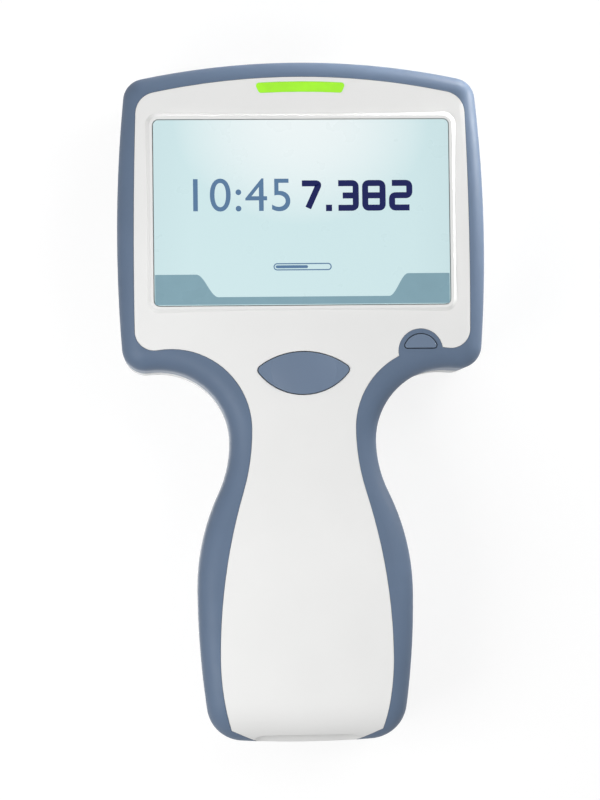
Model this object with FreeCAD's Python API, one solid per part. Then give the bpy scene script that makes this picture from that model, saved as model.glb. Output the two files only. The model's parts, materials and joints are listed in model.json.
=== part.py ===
"""Handheld blood analyser: a wide head with a touch screen on a waisted handle.

A cartridge goes in through the port at the heel. The analyser lies on its back: +Z comes out of
the screen, +Y runs from the heel to the top of the head and +X is to the right of someone who
reads the screen. The origin is under the middle of the body, in the plane of the feet.
All sizes are millimetres.
"""
import FreeCAD
import Part
import math
import os

from FreeCAD import Rotation, Vector

# Silhouette, seen from the front. Heights along Y are measured from the top of the head or from the heel.
body_length = 282.4
head_width = 152.8
neck_width = 60.6
handle_width = 88.8
head_top_radius = 328.0
head_side_radius = 600.0
head_side_peak_from_top = 75.2
head_top_corner = 9.2
head_low_corner = 9.6
shoulder_radius = 29.9
neck_from_top = 157.8
neck_curve_share = 0.3442
handle_peak_share = 0.5
handle_side_radius = 357.0
heel_radius = 373.0
heel_corner = 15.5

top_y = body_length / 2
heel_y = -body_length / 2
neck_y = top_y - neck_from_top
handle_length = body_length - neck_from_top

# Side profile
foot_height = 2.0
back_z = foot_height
head_front_z = 58.0
head_crest_from_top = 71.0
neck_front_z = 55.2
neck_dip_from_top = 163.0
neck_dip_share = 0.4436
handle_front_z = 60.0
handle_crest_share = 0.3692
nose_radius = 22.0
nose_from_heel = 18.5
crown_radius = 2000.0
arch_rise = 12.0
arch_peak_from_top = 166.0
arch_half_span = 55.0
arch_foot_radius = 52.0
edge_round = 8.0
split_z = 28.0

# Walls and clearances
band_thickness = 2.2
wall = 2.6
band_groove = 0.5
fit_gap = 0.1
slide_gap = 0.3
lip_height = 2.0
lip_thickness = 1.3
seal_size = 0.9
overrun = 20.0

# White front panel, the part of the front housing that the grip band leaves bare
panel_top_inset = 7.2
panel_top_radius = 300.0
panel_side_inset = 7.0
panel_side_radius = 2000.0
panel_side_peak_from_top = 91.0
panel_top_corner = 9.0
panel_low_corner = 8.0
panel_neck_inset = 8.9
panel_neck_from_top = 152.8
panel_shoulder_radius = 33.2
panel_neck_share = 0.2778
panel_handle_inset = 9.0
panel_handle_share = 0.2841
panel_heel_side_radius = 105.0
panel_heel_corner_from_heel = 5.8
panel_heel_slope_deg = 26.0

# Screen and its stack, from the glass inwards
glass_width = 122.0
glass_height = 76.6
glass_thickness = 1.1
glass_corner = 2.2
glass_middle_from_top = 63.6
glass_gap = 0.4
pad_z = 58.2
glass_recess = 0.1
pad_rim = 1.6
pad_slope_run = 4.0
pad_drop = 4.5
ledge_width = 3.0
gasket_thickness = 0.8
gasket_width = 2.4
lcd_side_gap = 0.4
lcd_thickness = 3.4
backlight_thickness = 2.4
tray_sheet = 0.8
tray_plate = 1.0
tray_flange = 3.8
tray_rim_drop = 0.5
tray_post_radius = 2.2
tray_post_from_edge = 1.8
tray_post_y_share = 0.42
small_screw_radius = 1.0
small_head_radius = 1.9
small_head_height = 1.4
small_screw_length = 5.0

# Status light over the screen
bar_length = 38.0
bar_height = 4.4
bar_from_top = 11.3
bar_top_radius = 320.0
bar_foot_share = 0.9
bar_corner = 1.3
bar_flange = 1.8
bar_flange_height = 1.2
bar_flange_z = 50.0
light_board_length = 58.0
light_board_height = 8.5
light_board_thickness = 1.0
light_board_gap = 1.1
light_post_x = 25.6
light_post_radius = 2.2
led_size = 1.6
led_height = 0.8
led_count = 6
led_pitch = 5.6

# Scan button under the screen
scan_length = 38.9
scan_from_top = 128.3
scan_rise = 7.1
scan_fall = 10.4
scan_end_radius = 1.9
scan_gap = 0.35
scan_stand = 0.7
scan_dish_radius = 62.0
scan_dish_depth = 1.5
scan_flange = 1.5
scan_travel = 1.2

# Power button at the low right corner of the screen panel
power_x = 48.6
power_from_top = 121.3
power_radius = 7.0
power_chord_rise = 1.3
power_gap = 0.35
power_rim = 2.3
power_stand = 0.5
power_flange = 1.2
power_switch_rise = 3.9
power_travel = 0.8
power_end_radius = 1.0

# Parts that the two buttons share
flange_thickness = 1.2
flange_top_gap = 0.35
button_foot = 0.4
switch_width = 6.2
switch_height = 3.1
switch_floor = 0.5
plunger_radius = 1.5
plunger_gap = 0.08
plunger_reach = 1.5
dome_radius = 5.9
dome_top_radius = 4.6
dome_wall = 0.5

# Main board
board_z = 44.6
board_thickness = 1.6
board_side_margin = 3.0
board_from_top = 29.2
board_low_from_top = 122.7
board_tongue_half = 20.0
board_tongue_low_from_top = 147.2
board_screw_inset = 6.0
board_screw_ys_from_top = (35.2, 93.2)
standoff_radius = 2.6
shield_size = (30.0, 26.0, 2.6)
shield_from_top = (-26.0, 69.2)
shield_corner = 1.5
radio_size = (20.0, 22.0, 2.2)
radio_from_top = (22.0, 43.2)
radio_corner = 0.8
coin_radius = 10.0
coin_thickness = 3.2
coin_from_top = (34.0, 79.2)
ribbon_width = 20.0
ribbon_thickness = 0.2
ribbon_leg = 9.0
ribbon_from_top = 101.2

# Screws that hold the housing halves, as distances from the side of the head and from its top,
# and as distances from the widest line of the handle and from the heel
head_screws = ((10.8, 27.2), (10.8, 93.2))
handle_screws = ((11.0, 53.2), (14.4, 19.2))
front_post_radius = 3.6
rear_post_radius = 4.4
housing_screw_radius = 1.5
housing_head_radius = 2.8
housing_head_height = 2.2
housing_bore_radius = 3.2
housing_bore_depth = 11.2
housing_screw_reach = 12.0
screw_hole_gap = 0.2
rear_side_wall = 3.6
rear_back_wall = 3.0

# Barcode reader in the top end
window_length = 34.0
window_height = 13.0
window_corner = 3.0
window_z = 16.0
window_thickness = 1.6
window_recess = 0.6
window_seat = 2.0
window_sag = 0.6
reader_size = (24.0, 14.0, 13.0)
reader_from_top = 15.2
reader_lens_radius = 4.0
reader_lens_length = 3.0
bracket_sheet = 1.5
bracket_pedestal_half = 9.0
bracket_cheek_height = 9.0
reader_rise = 3.0

# Battery in the back of the head
battery_length = 84.0
battery_height = 58.0
battery_depth = 21.5
battery_corner = 3.0
battery_wall = 1.6
battery_edge_from_top = 41.2
battery_gap = 0.4
bay_wall = 1.6
lid_thickness = 1.2
cell_radius = 9.1
cell_length = 65.0
cell_cap_radius = 3.0
cell_cap_length = 0.6
cell_count = 3
contact_size = (2.4, 6.0)
contact_pitch = 6.0
contact_count = 4
contact_rise = 0.3
contact_y_share = 0.25
bay_head_room = 1.4
battery_grip_radius = 9.0
battery_grip_depth = 0.9
battery_grip_share = 0.5
battery_grip_y_share = 0.25
latch_width = 25.4
latch_length = 8.8
latch_thickness = 3.2
latch_gap = 0.35
latch_rail = 1.5
latch_rail_thickness = 1.5
latch_from_bay = 0.6
latch_travel = 3.0
latch_boss_rim = 3.0
latch_boss_roof = 2.0
latch_face_recess = 0.3
tongue_width = 12.0
tongue_thickness = 1.6
tongue_clear = 0.6
latch_rib_count = 3
latch_rib_pitch = 1.8
latch_rib_size = 0.7
latch_rib_half_share = 0.3333
latch_spring_wire = 0.22
latch_spring_radius = 0.95
latch_spring_length = 5.0
latch_spring_turns = 4
latch_pocket_gap = 0.25

# Feet, speaker and dock pads on the back
foot_radius = 6.0
foot_seat = 0.6
head_feet = ((20.4, 22.2), (20.4, 107.6))
handle_feet = ((18.4, 30.2),)
foot_edge = 0.6
speaker_from_heel = 50.4
speaker_radius = 11.0
speaker_height = 4.5
speaker_cone_radius = 8.0
speaker_cone_depth = 1.2
grille_slot_count = 5
grille_slot_length = 13.0
grille_slot_width = 1.6
grille_pitch = 3.2
pad_count = 5
pad_pitch = 5.0
dock_pad_size = (3.0, 6.0, 1.0)
dock_pad_recess = 0.2
dock_from_heel = 18.4

# Cartridge port in the heel
port_z = 34.1
port_mouth = (46.0, 17.0)
port_corner = 4.0
port_recess = 0.8
port_gap = 0.1
port_lip_clear = 0.8
port_flange = 2.0
port_flange_thickness = 1.4
port_drop = 0.6
funnel_mouth = (41.0, 12.0)
funnel_corner = 3.0
funnel_depth = 4.0
slot_half_width = 14.2
slot_height = 5.4
slot_length = 38.0
guide_wall = 2.4
guide_roof = 1.8
scoop_radius = 9.0
scoop_half_length = 17.0
scoop_out = 5.6
scoop_z = 50.6

# Reader mechanism behind and over the cartridge
chassis_lift = 0.2
chassis_plate = 1.6
chassis_half_width = 26.4
chassis_arm_half_length = 4.4
chassis_edge_inset = 6.6
motor_x = 6.2
motor_radius = 8.0
motor_length = 26.0
motor_wall_from_heel = 81.2
motor_wall_thickness = 2.0
motor_wall_edge = 3.0
motor_shaft_radius = 1.0
motor_shaft_depth = 8.0
motor_boss_radius = 3.0
gear_module = 0.8
pinion_teeth = 10
gear_teeth = 30
tooth_top_share = 0.75
tooth_root_share = 1.15
tooth_tip_share = 0.26
tooth_base_share = 0.62
pinion_width = 6.0
gear_width = 4.8
gear_from_wall = 2.6
gear_hub_radius = 4.6
gear_hub_length = 1.6
bulkhead_from_heel = 71.2
bulkhead_thickness = 3.0
bulkhead_top_z = 47.0
rail_x = 22.2
rail_z = 42.0
rail_radius = 1.5
drive_screw_radius = 2.5
bush_radius = 3.6
outer_bulkhead_from_heel = 9.2
outer_bulkhead_thickness = 2.6
outer_bulkhead_top_z = 45.0
cheek_half_width = 4.0
cheek_length = 12.0
cheek_from_heel = 44.2
carriage_plate_z = 44.2
carriage_plate = 2.0
carriage_nose_half_width = 17.0
carriage_length = 34.0
carriage_travel = 12.0
cheek_foot_clear = 0.4
running_gap = 0.05
follower_gap = 0.3
connector_from_heel = 37.2
connector_half_width = 9.0
connector_length = 7.0
connector_wing_half_width = 15.0
connector_wing_inner = 11.0
connector_wing_length = 4.0
connector_wing_thickness = 1.8
connector_body_height = 3.8
connector_window_gap = 0.4
connector_sink = 0.6
connector_drop = 2.0
plungers_from_heel = (31.2, 25.2)
plunger_drop = 2.4
plunger_head_radius = 2.4
plunger_head_height = 1.6
plunger_offset = 5.5
plunger_stem_radii = (1.4, 2.0)
plunger_foot_gap = 0.5
plunger_bush_gap = 0.1
follower_top_z = 42.9
strip_half_width = 2.5
pin_radius = 0.35
pin_length = 1.2
pin_pitch = 2.0
pin_row_pitch = 3.0
pin_columns = 8
pin_rows = 2
return_spring_radius = 1.3
return_spring_wire = 0.4
return_spring_turns = 3
sensor_size = (6.0, 4.0, 5.0)
flex_width = 12.0
flex_thickness = 0.3
flex_lap = 8.0


def meeting_point(centre_a, radius_a, centre_b, radius_b, pick):
    """Where two circles in the XY plane cross; pick chooses one of the two points."""
    apart = centre_b - centre_a
    span = apart.Length
    along = (radius_a**2 - radius_b**2 + span**2) / (2 * span)
    across = math.sqrt(radius_a**2 - along**2)
    foot = centre_a + apart * (along / span)
    side = Vector(-apart.y, apart.x, 0) * (across / span)
    return pick((foot + side, foot - side))


def heading(start, end):
    """Angle in the XY plane of the line from start to end."""
    return math.atan2(end.y - start.y, end.x - start.x)


def highest(points):
    return max(points, key=lambda p: p.y)


def lowest(points):
    return min(points, key=lambda p: p.y)


def rightmost(points):
    return max(points, key=lambda p: p.x)


def arc(centre, radius, start, end, plane="xy"):
    """Arc edge from angle start to angle end, in the XY or the YZ plane."""

    def at(angle):
        if plane == "xy":
            return centre + Vector(math.cos(angle), math.sin(angle), 0) * radius
        return centre + Vector(0, math.cos(angle), math.sin(angle)) * radius

    return Part.Arc(at(start), at((start + end) / 2), at(end)).toShape()


def s_curve_sum(rise, run):
    """Sum of the radii of two tangent arcs that carry a line sideways by rise over run."""
    return (rise**2 + run**2) / (2 * rise)


def mirrored_wire(right_edges):
    """Closed wire of the right-hand edges and their mirror images."""
    left_edges = [edge.mirror(Vector(0, 0, 0), Vector(1, 0, 0)) for edge in right_edges]
    return Part.Wire(Part.__sortEdges__(right_edges + left_edges))


def body_outline(inset):
    """Silhouette of the body, moved inwards by inset."""
    half_head = head_width / 2
    half_neck = neck_width / 2
    half_handle = handle_width / 2
    handle_y = heel_y + handle_length * handle_peak_share
    swell_sum = s_curve_sum(half_handle - half_neck, neck_y - handle_y)
    neck_radius = swell_sum * neck_curve_share
    swell_radius = swell_sum - neck_radius
    top = Vector(0, top_y - head_top_radius, 0)
    side = Vector(half_head - head_side_radius, top_y - head_side_peak_from_top, 0)
    corner = meeting_point(
        top, head_top_radius - head_top_corner, side, head_side_radius - head_top_corner, highest
    )
    shoulder = Vector(half_neck + shoulder_radius, neck_y, 0)
    low_corner = meeting_point(
        side, head_side_radius - head_low_corner, shoulder, shoulder_radius + head_low_corner, rightmost
    )
    neck = Vector(half_neck + neck_radius, neck_y, 0)
    swell = Vector(half_handle - swell_radius, handle_y, 0)
    flank = Vector(half_handle - handle_side_radius, handle_y, 0)
    heel = Vector(0, heel_y + heel_radius, 0)
    end_corner = meeting_point(
        flank, handle_side_radius - heel_corner, heel, heel_radius - heel_corner, lowest
    )
    turn = 2 * math.pi
    return mirrored_wire(
        [
            arc(top, head_top_radius - inset, turn / 4, heading(top, corner)),
            arc(corner, head_top_corner - inset, heading(top, corner), heading(side, corner)),
            arc(side, head_side_radius - inset, heading(side, corner), heading(side, low_corner)),
            arc(
                low_corner, head_low_corner - inset,
                heading(side, low_corner), heading(low_corner, shoulder)
            ),
            arc(shoulder, shoulder_radius + inset, heading(shoulder, low_corner), turn / 2),
            arc(neck, neck_radius + inset, turn / 2, heading(neck, swell) % turn),
            arc(swell, swell_radius - inset, heading(swell, neck), 0),
            arc(flank, handle_side_radius - inset, 0, heading(flank, end_corner)),
            arc(end_corner, heel_corner - inset, heading(flank, end_corner), heading(heel, end_corner)),
            arc(heel, heel_radius - inset, heading(heel, end_corner), -turn / 4),
        ]
    )


def panel_outline(inset):
    """Edge of the white front panel, moved inwards by inset, with a tapered tongue at the heel."""
    half_head = head_width / 2 - panel_side_inset
    half_neck = neck_width / 2 - panel_neck_inset
    half_handle = handle_width / 2 - panel_handle_inset
    panel_top_y = top_y - panel_top_inset
    panel_neck_y = top_y - panel_neck_from_top
    handle_y = heel_y + handle_length * panel_handle_share
    corner_y = heel_y + panel_heel_corner_from_heel
    swell_sum = s_curve_sum(half_handle - half_neck, panel_neck_y - handle_y)
    neck_radius = swell_sum * panel_neck_share
    swell_radius = swell_sum - neck_radius
    top = Vector(0, panel_top_y - panel_top_radius, 0)
    side = Vector(half_head - panel_side_radius, top_y - panel_side_peak_from_top, 0)
    corner = meeting_point(
        top, panel_top_radius - panel_top_corner, side, panel_side_radius - panel_top_corner, highest
    )
    shoulder = Vector(half_neck + panel_shoulder_radius, panel_neck_y, 0)
    low_corner = meeting_point(
        side, panel_side_radius - panel_low_corner,
        shoulder, panel_shoulder_radius + panel_low_corner, rightmost
    )
    neck = Vector(half_neck + neck_radius, panel_neck_y, 0)
    swell = Vector(half_handle - swell_radius, handle_y, 0)
    flank = Vector(half_handle - panel_heel_side_radius, handle_y, 0)
    flank_end = -math.asin((handle_y - corner_y) / panel_heel_side_radius)
    corner_way = Vector(math.cos(flank_end), math.sin(flank_end), 0)
    corner_point = flank + corner_way * (panel_heel_side_radius - inset)
    slope = math.tan(math.radians(panel_heel_slope_deg))
    tongue_y = heel_y - corner_point.x * slope / 2
    tongue_x = corner_point.x - (corner_point.y - tongue_y) / slope
    turn = 2 * math.pi
    return mirrored_wire(
        [
            arc(top, panel_top_radius - inset, turn / 4, heading(top, corner)),
            arc(corner, panel_top_corner - inset, heading(top, corner), heading(side, corner)),
            arc(side, panel_side_radius - inset, heading(side, corner), heading(side, low_corner)),
            arc(
                low_corner, panel_low_corner - inset,
                heading(side, low_corner), heading(low_corner, shoulder)
            ),
            arc(shoulder, panel_shoulder_radius + inset, heading(shoulder, low_corner), turn / 2),
            arc(neck, neck_radius + inset, turn / 2, heading(neck, swell) % turn),
            arc(swell, swell_radius - inset, heading(swell, neck), 0),
            arc(flank, panel_heel_side_radius - inset, 0, flank_end),
            Part.makeLine(corner_point, Vector(tongue_x, tongue_y, 0)),
            Part.makeLine(Vector(tongue_x, tongue_y, 0), Vector(0, tongue_y, 0)),
        ]
    )


def upright(wire, low, high):
    """Solid between two heights inside a closed wire that lies in the XY plane."""
    solid = Part.Face(wire).extrude(Vector(0, 0, high - low))
    solid.translate(Vector(0, 0, low))
    return solid


def closed_profile(edges, level):
    """Face in the YZ plane between a chain of edges and a straight line at the given height."""
    chain = Part.Wire(Part.__sortEdges__(edges))
    ends = sorted((v.Point for v in chain.Vertexes), key=lambda p: p.y)
    first, last = ends[0], ends[-1]
    low_first = Vector(0, first.y, level)
    low_last = Vector(0, last.y, level)
    sides = [
        Part.makeLine(first, low_first),
        Part.makeLine(low_first, low_last),
        Part.makeLine(low_last, last),
    ]
    return Part.Face(Part.Wire(Part.__sortEdges__(edges + sides)))


def front_curves():
    """Places along Y and radii of the head crest, the neck dip and the handle crest."""
    head_y = top_y - head_crest_from_top
    dip_y = top_y - neck_dip_from_top
    crest_y = heel_y + handle_length * handle_crest_share
    crest_sum = s_curve_sum(handle_front_z - neck_front_z, dip_y - crest_y)
    dip_radius = crest_sum * neck_dip_share
    head_radius = s_curve_sum(head_front_z - neck_front_z, head_y - dip_y) - dip_radius
    return (head_y, head_radius), (dip_y, dip_radius), (crest_y, crest_sum - dip_radius)


def front_profile_edges(inset):
    """Front surface in the YZ plane: head crest, neck dip, handle crest and the nose over the heel."""
    (head_y, head_radius), (dip_y, dip_radius), (crest_y, crest_radius) = front_curves()
    head = Vector(0, head_y, head_front_z - head_radius)
    dip = Vector(0, dip_y, neck_front_z + dip_radius)
    crest = Vector(0, crest_y, handle_front_z - crest_radius)
    nose_turn = math.acos((heel_y + nose_from_heel - crest_y) / crest_radius)
    nose = crest + Vector(0, math.cos(nose_turn), math.sin(nose_turn)) * (crest_radius - nose_radius)

    def tilt(start, end):
        return math.atan2(end.z - start.z, end.y - start.y)

    top_end = math.acos((top_y + overrun - head.y) / (head_radius - inset))
    nose_end = math.pi
    return [
        arc(head, head_radius - inset, top_end, tilt(head, dip), "yz"),
        arc(dip, dip_radius + inset, tilt(dip, head), tilt(dip, crest), "yz"),
        arc(crest, crest_radius - inset, tilt(crest, dip), nose_turn, "yz"),
        arc(nose, nose_radius - inset, nose_turn, nose_end, "yz"),
    ]


def front_limit(inset):
    """Everything behind the front surface; the surface is crowned across the body."""
    axis_z = head_front_z - crown_radius
    face = closed_profile(front_profile_edges(inset), back_z - overrun)
    half_turn = math.degrees(math.asin((head_width / 2 + overrun) / crown_radius))
    face.rotate(Vector(0, 0, axis_z), Vector(0, 1, 0), -half_turn)
    return face.revolve(Vector(0, 0, axis_z), Vector(0, 1, 0), 2 * half_turn)


def back_limit(inset):
    """Everything in front of the back surface, with the finger arch behind the neck."""
    peak_y = top_y - arch_peak_from_top
    peak_radius = s_curve_sum(arch_rise, arch_half_span) - arch_foot_radius
    head_foot = Vector(0, peak_y + arch_half_span, back_z + arch_foot_radius)
    heel_foot = Vector(0, peak_y - arch_half_span, back_z + arch_foot_radius)
    peak = Vector(0, peak_y, back_z + arch_rise - peak_radius)
    down = -math.pi / 2
    head_turn = math.atan2(peak.z - head_foot.z, peak.y - head_foot.y)
    heel_turn = math.atan2(peak.z - heel_foot.z, peak.y - heel_foot.y)
    level = back_z + inset
    edges = [
        Part.makeLine(Vector(0, top_y + overrun, level), Vector(0, head_foot.y, level)),
        arc(head_foot, arch_foot_radius - inset, down, head_turn, "yz"),
        arc(peak, peak_radius + inset, head_turn + math.pi, heel_turn + math.pi, "yz"),
        arc(heel_foot, arch_foot_radius - inset, heel_turn, down, "yz"),
        Part.makeLine(Vector(0, heel_foot.y, level), Vector(0, heel_y - overrun, level)),
    ]
    face = closed_profile(edges, handle_front_z + overrun)
    half_width = head_width / 2 + overrun
    solid = face.extrude(Vector(2 * half_width, 0, 0))
    solid.translate(Vector(-half_width, 0, 0))
    return solid


def is_rim(edge, above):
    """True for an edge that runs round the body, before or behind the split, and not across it."""
    room = edge.BoundBox
    upright_edge = room.ZLength > max(room.XLength, room.YLength)
    wide = room.XLength > neck_width / 2 and room.YLength < overrun / 2
    crosses = wide and abs(room.Center.x) < slide_gap
    if upright_edge or crosses:
        return False
    return room.ZMin > split_z if above else room.ZMax < split_z


def body_solid(side_inset, front_inset, back_inset):
    """The whole rounded body, moved inwards by its own inset at the sides, the front and the back."""
    solid = upright(body_outline(side_inset), back_z - overrun, handle_front_z + overrun)
    solid = solid.common(front_limit(front_inset)).common(back_limit(back_inset)).Solids[0]
    radius = edge_round - side_inset
    front_rim = [edge for edge in solid.Edges if is_rim(edge, True)]
    back_rim = [edge for edge in solid.Edges if is_rim(edge, False)]
    return solid.makeFillet(radius, front_rim + back_rim)


def box(x_low, x_high, y_low, y_high, z_low, z_high):
    """Block between two corners."""
    return Part.makeBox(x_high - x_low, y_high - y_low, z_high - z_low, Vector(x_low, y_low, z_low))


def slab(half_x, y_low, y_high, z_low, z_high):
    """Block that is centred on the plane of symmetry."""
    return box(-half_x, half_x, y_low, y_high, z_low, z_high)


def post(x, y, radius, z_low, z_high):
    """Upright cylinder."""
    return Part.makeCylinder(radius, z_high - z_low, Vector(x, y, z_low))


def axle(x, z, radius, y_low, y_high):
    """Cylinder that runs along the body."""
    return Part.makeCylinder(radius, y_high - y_low, Vector(x, y_low, z), Vector(0, 1, 0))


def rounded_slab(x, y, width, height, radius, z_low, z_high):
    """Plate with rounded corners, centred on x and y."""
    plate = box(x - width / 2, x + width / 2, y - height / 2, y + height / 2, z_low, z_high)
    corners = [e for e in plate.Edges if e.BoundBox.ZLength > (z_high - z_low) / 2]
    return plate.makeFillet(radius, corners)


def joined(shapes):
    """One solid out of overlapping solids."""
    first = shapes[0]
    for shape in shapes[1:]:
        first = first.fuse(shape)
    return first.removeSplitter()


def group(shapes):
    """Separate solids that are one kind of piece."""
    return Part.makeCompound(shapes)


def front_height(x, y):
    """Height of the front surface over the head and the neck, without the rim."""
    head_y, head_radius = front_curves()[0]
    middle = head_front_z - head_radius + math.sqrt(head_radius**2 - (y - head_y)**2)
    return middle - crown_radius + math.sqrt(crown_radius**2 - x**2)


def ring_between(outer_inset, inner_inset, low, high):
    """Upright ring that follows the silhouette."""
    return upright(body_outline(outer_inset), low, high).cut(upright(body_outline(inner_inset), low, high))


def end_slab(width, height, corner, z, y_low, y_high):
    """Plate with rounded corners that faces along the body."""
    plate = box(-width / 2, width / 2, y_low, y_high, z - height / 2, z + height / 2)
    if corner > 0:
        corners = [e for e in plate.Edges if e.BoundBox.YLength > (y_high - y_low) / 2]
        plate = plate.makeFillet(corner, corners)
    return plate


def end_wire(width, height, corner, z, y):
    """Rounded rectangle that faces along the body."""
    thin = end_slab(width, height, corner, z, y, y + overrun)
    face = [f for f in thin.Faces if f.BoundBox.YLength < fit_gap and abs(f.CenterOfMass.y - y) < fit_gap][0]
    return face.OuterWire


def level_wire(plate, level):
    """Outline of the flat face of a plate at a level."""
    for face in plate.Faces:
        flat = face.BoundBox.ZLength < fit_gap / 2
        if flat and abs(face.BoundBox.ZMin - level) < fit_gap / 2:
            return face.OuterWire


def upright_corners(plate, low, high):
    """Upright corner edges of a plate, as far as they are sharp."""
    tall = [e for e in plate.Edges if e.BoundBox.ZLength > (high - low) / 2]
    return [e for e in tall if e.BoundBox.XLength < fit_gap]


def glass_plate(grow, low, high):
    """Rounded plate with the outline of the touch glass, grown by a margin."""
    width = glass_width + 2 * grow
    height = glass_height + 2 * grow
    return rounded_slab(0, glass_y, width, height, max(glass_corner + grow, fit_gap), low, high)


def screen_pad():
    """Raised frame round the screen, sloping down to the front surface on all sides."""
    foot_z = pad_z - pad_drop
    low_wire = level_wire(glass_plate(pad_rim + pad_slope_run, foot_z, foot_z + overrun), foot_z)
    top_wire = level_wire(glass_plate(pad_rim, pad_z - overrun, pad_z), pad_z)
    return Part.makeLoft([low_wire, top_wire], True, True)


def status_bar(grow, low, high):
    """Plate with the outline of the status light: two shallow arcs and slanted ends."""
    centre = Vector(0, bar_y + bar_height / 2 - bar_top_radius, 0)
    top_half = bar_length / 2 + grow
    foot_half = bar_length / 2 * bar_foot_share + grow
    top_radius = bar_top_radius + grow
    low_radius = bar_top_radius - bar_height - grow
    top_turn = math.asin(top_half / top_radius)
    foot_turn = math.asin(foot_half / low_radius)
    quarter = math.pi / 2
    top_arc = arc(centre, top_radius, quarter - top_turn, quarter + top_turn)
    foot_arc = arc(centre, low_radius, quarter - foot_turn, quarter + foot_turn)
    ends = [
        Part.makeLine(top_arc.Vertexes[0].Point, foot_arc.Vertexes[0].Point),
        Part.makeLine(top_arc.Vertexes[-1].Point, foot_arc.Vertexes[-1].Point),
    ]
    plate = upright(Part.Wire(Part.__sortEdges__([top_arc, foot_arc] + ends)), low, high)
    corners = [e for e in plate.Edges if e.BoundBox.ZLength > (high - low) / 2]
    return plate.makeFillet(bar_corner + grow, corners)


def scan_plate(grow, low, high):
    """Plate with the outline of the scan button: two arcs that meet in rounded tips."""
    half = scan_length / 2
    rise_radius = s_curve_sum(scan_rise, half)
    fall_radius = s_curve_sum(scan_fall, half)
    upper = post(0, scan_y + scan_rise - rise_radius, rise_radius + grow, low, high)
    lower = post(0, scan_y - scan_fall + fall_radius, fall_radius + grow, low, high)
    plate = upper.common(lower)
    return plate.makeFillet(scan_end_radius + grow, upright_corners(plate, low, high))


def power_plate(grow, low, high):
    """Plate with the outline of the power button: a disc that is cut off along a chord."""
    disc = post(power_x, power_y, power_radius + grow, low, high)
    side = 2 * power_radius + grow
    chord = power_y + power_chord_rise - grow
    keep = box(power_x - side, power_x + side, chord, chord + 2 * side, low, high)
    plate = disc.common(keep)
    return plate.makeFillet(power_end_radius + grow, upright_corners(plate, low, high))


def power_mound(grow):
    """Round boss of the grip band that reaches into the white panel round the power button."""
    return post(power_x, power_y, power_radius + power_rim + grow, split_z, handle_front_z + overrun)


def coil(radius, wire_radius, length, turns):
    """Open coil spring along Z from the origin."""
    path = Part.makeHelix(length / turns, length, radius)
    circle = Part.makeCircle(wire_radius, Vector(radius, 0, 0), Vector(0, 1, 0))
    return Part.Wire(path).makePipeShell([Part.Wire(circle)], True, True)


def small_screw(x, y, seat_z):
    """Screw that goes up from a seat, with its head below."""
    head = post(x, y, small_head_radius, seat_z - small_head_height, seat_z)
    return head.fuse(post(x, y, small_screw_radius, seat_z, seat_z + small_screw_length))


def drooping_strip(high_y, high_z, low_y, low_z, lap, thickness, width, x):
    """Flexible strip with a level leg at each end and an S between them, at heights of its lower face."""
    bend_high_y = high_y - lap
    bend_low_y = low_y + lap
    radius = (s_curve_sum(high_z - low_z, bend_high_y - bend_low_y) - thickness) / 2
    crest = Vector(0, bend_high_y, high_z - radius)
    sag = Vector(0, bend_low_y, low_z + radius + thickness)
    up = math.pi / 2
    lean = math.atan2(sag.z - crest.z, sag.y - crest.y)
    edges = [
        Part.makeLine(Vector(0, high_y, high_z), Vector(0, high_y, high_z + thickness)),
        Part.makeLine(Vector(0, low_y, low_z), Vector(0, low_y, low_z + thickness)),
    ]
    outer = radius + thickness
    for lift, crest_radius, sag_radius in ((0, radius, outer), (thickness, outer, radius)):
        edges.append(Part.makeLine(Vector(0, high_y, high_z + lift), Vector(0, bend_high_y, high_z + lift)))
        edges.append(Part.makeLine(Vector(0, low_y, low_z + lift), Vector(0, bend_low_y, low_z + lift)))
        edges.append(arc(crest, crest_radius, up, lean, "yz"))
        edges.append(arc(sag, sag_radius, lean + math.pi, 3 * up, "yz"))
    solid = Part.Face(Part.Wire(Part.__sortEdges__(edges))).extrude(Vector(width, 0, 0))
    solid.translate(Vector(x - width / 2, 0, 0))
    return solid


def gear(x, z, teeth, y_low, y_high, phase):
    """Spur gear that turns about an axis along the body."""
    pitch_radius = gear_module * teeth / 2
    tip = pitch_radius + tooth_top_share * gear_module
    root = pitch_radius - tooth_root_share * gear_module
    step = 2 * math.pi / teeth
    corners = []
    for tooth in range(teeth):
        middle = phase + tooth * step
        flanks = (
            (root, -tooth_base_share),
            (tip, -tooth_tip_share),
            (tip, tooth_tip_share),
            (root, tooth_base_share),
        )
        for radius, share in flanks:
            angle = middle + share * step / 2
            corners.append(Vector(x + radius * math.cos(angle), y_low, z + radius * math.sin(angle)))
    corners.append(corners[0])
    return Part.Face(Part.makePolygon(corners)).extrude(Vector(0, y_high - y_low, 0))


def slope_block(half_x, x, y_middle, slope, z_at_middle, y_low, y_high, level):
    """Prism between a level plane and a plane that climbs along the body."""
    corners = [
        Vector(x - half_x, y_low, z_at_middle + slope * (y_low - y_middle)),
        Vector(x - half_x, y_high, z_at_middle + slope * (y_high - y_middle)),
        Vector(x - half_x, y_high, level),
        Vector(x - half_x, y_low, level),
    ]
    corners.append(corners[0])
    return Part.Face(Part.makePolygon(corners)).extrude(Vector(2 * half_x, 0, 0))


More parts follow.
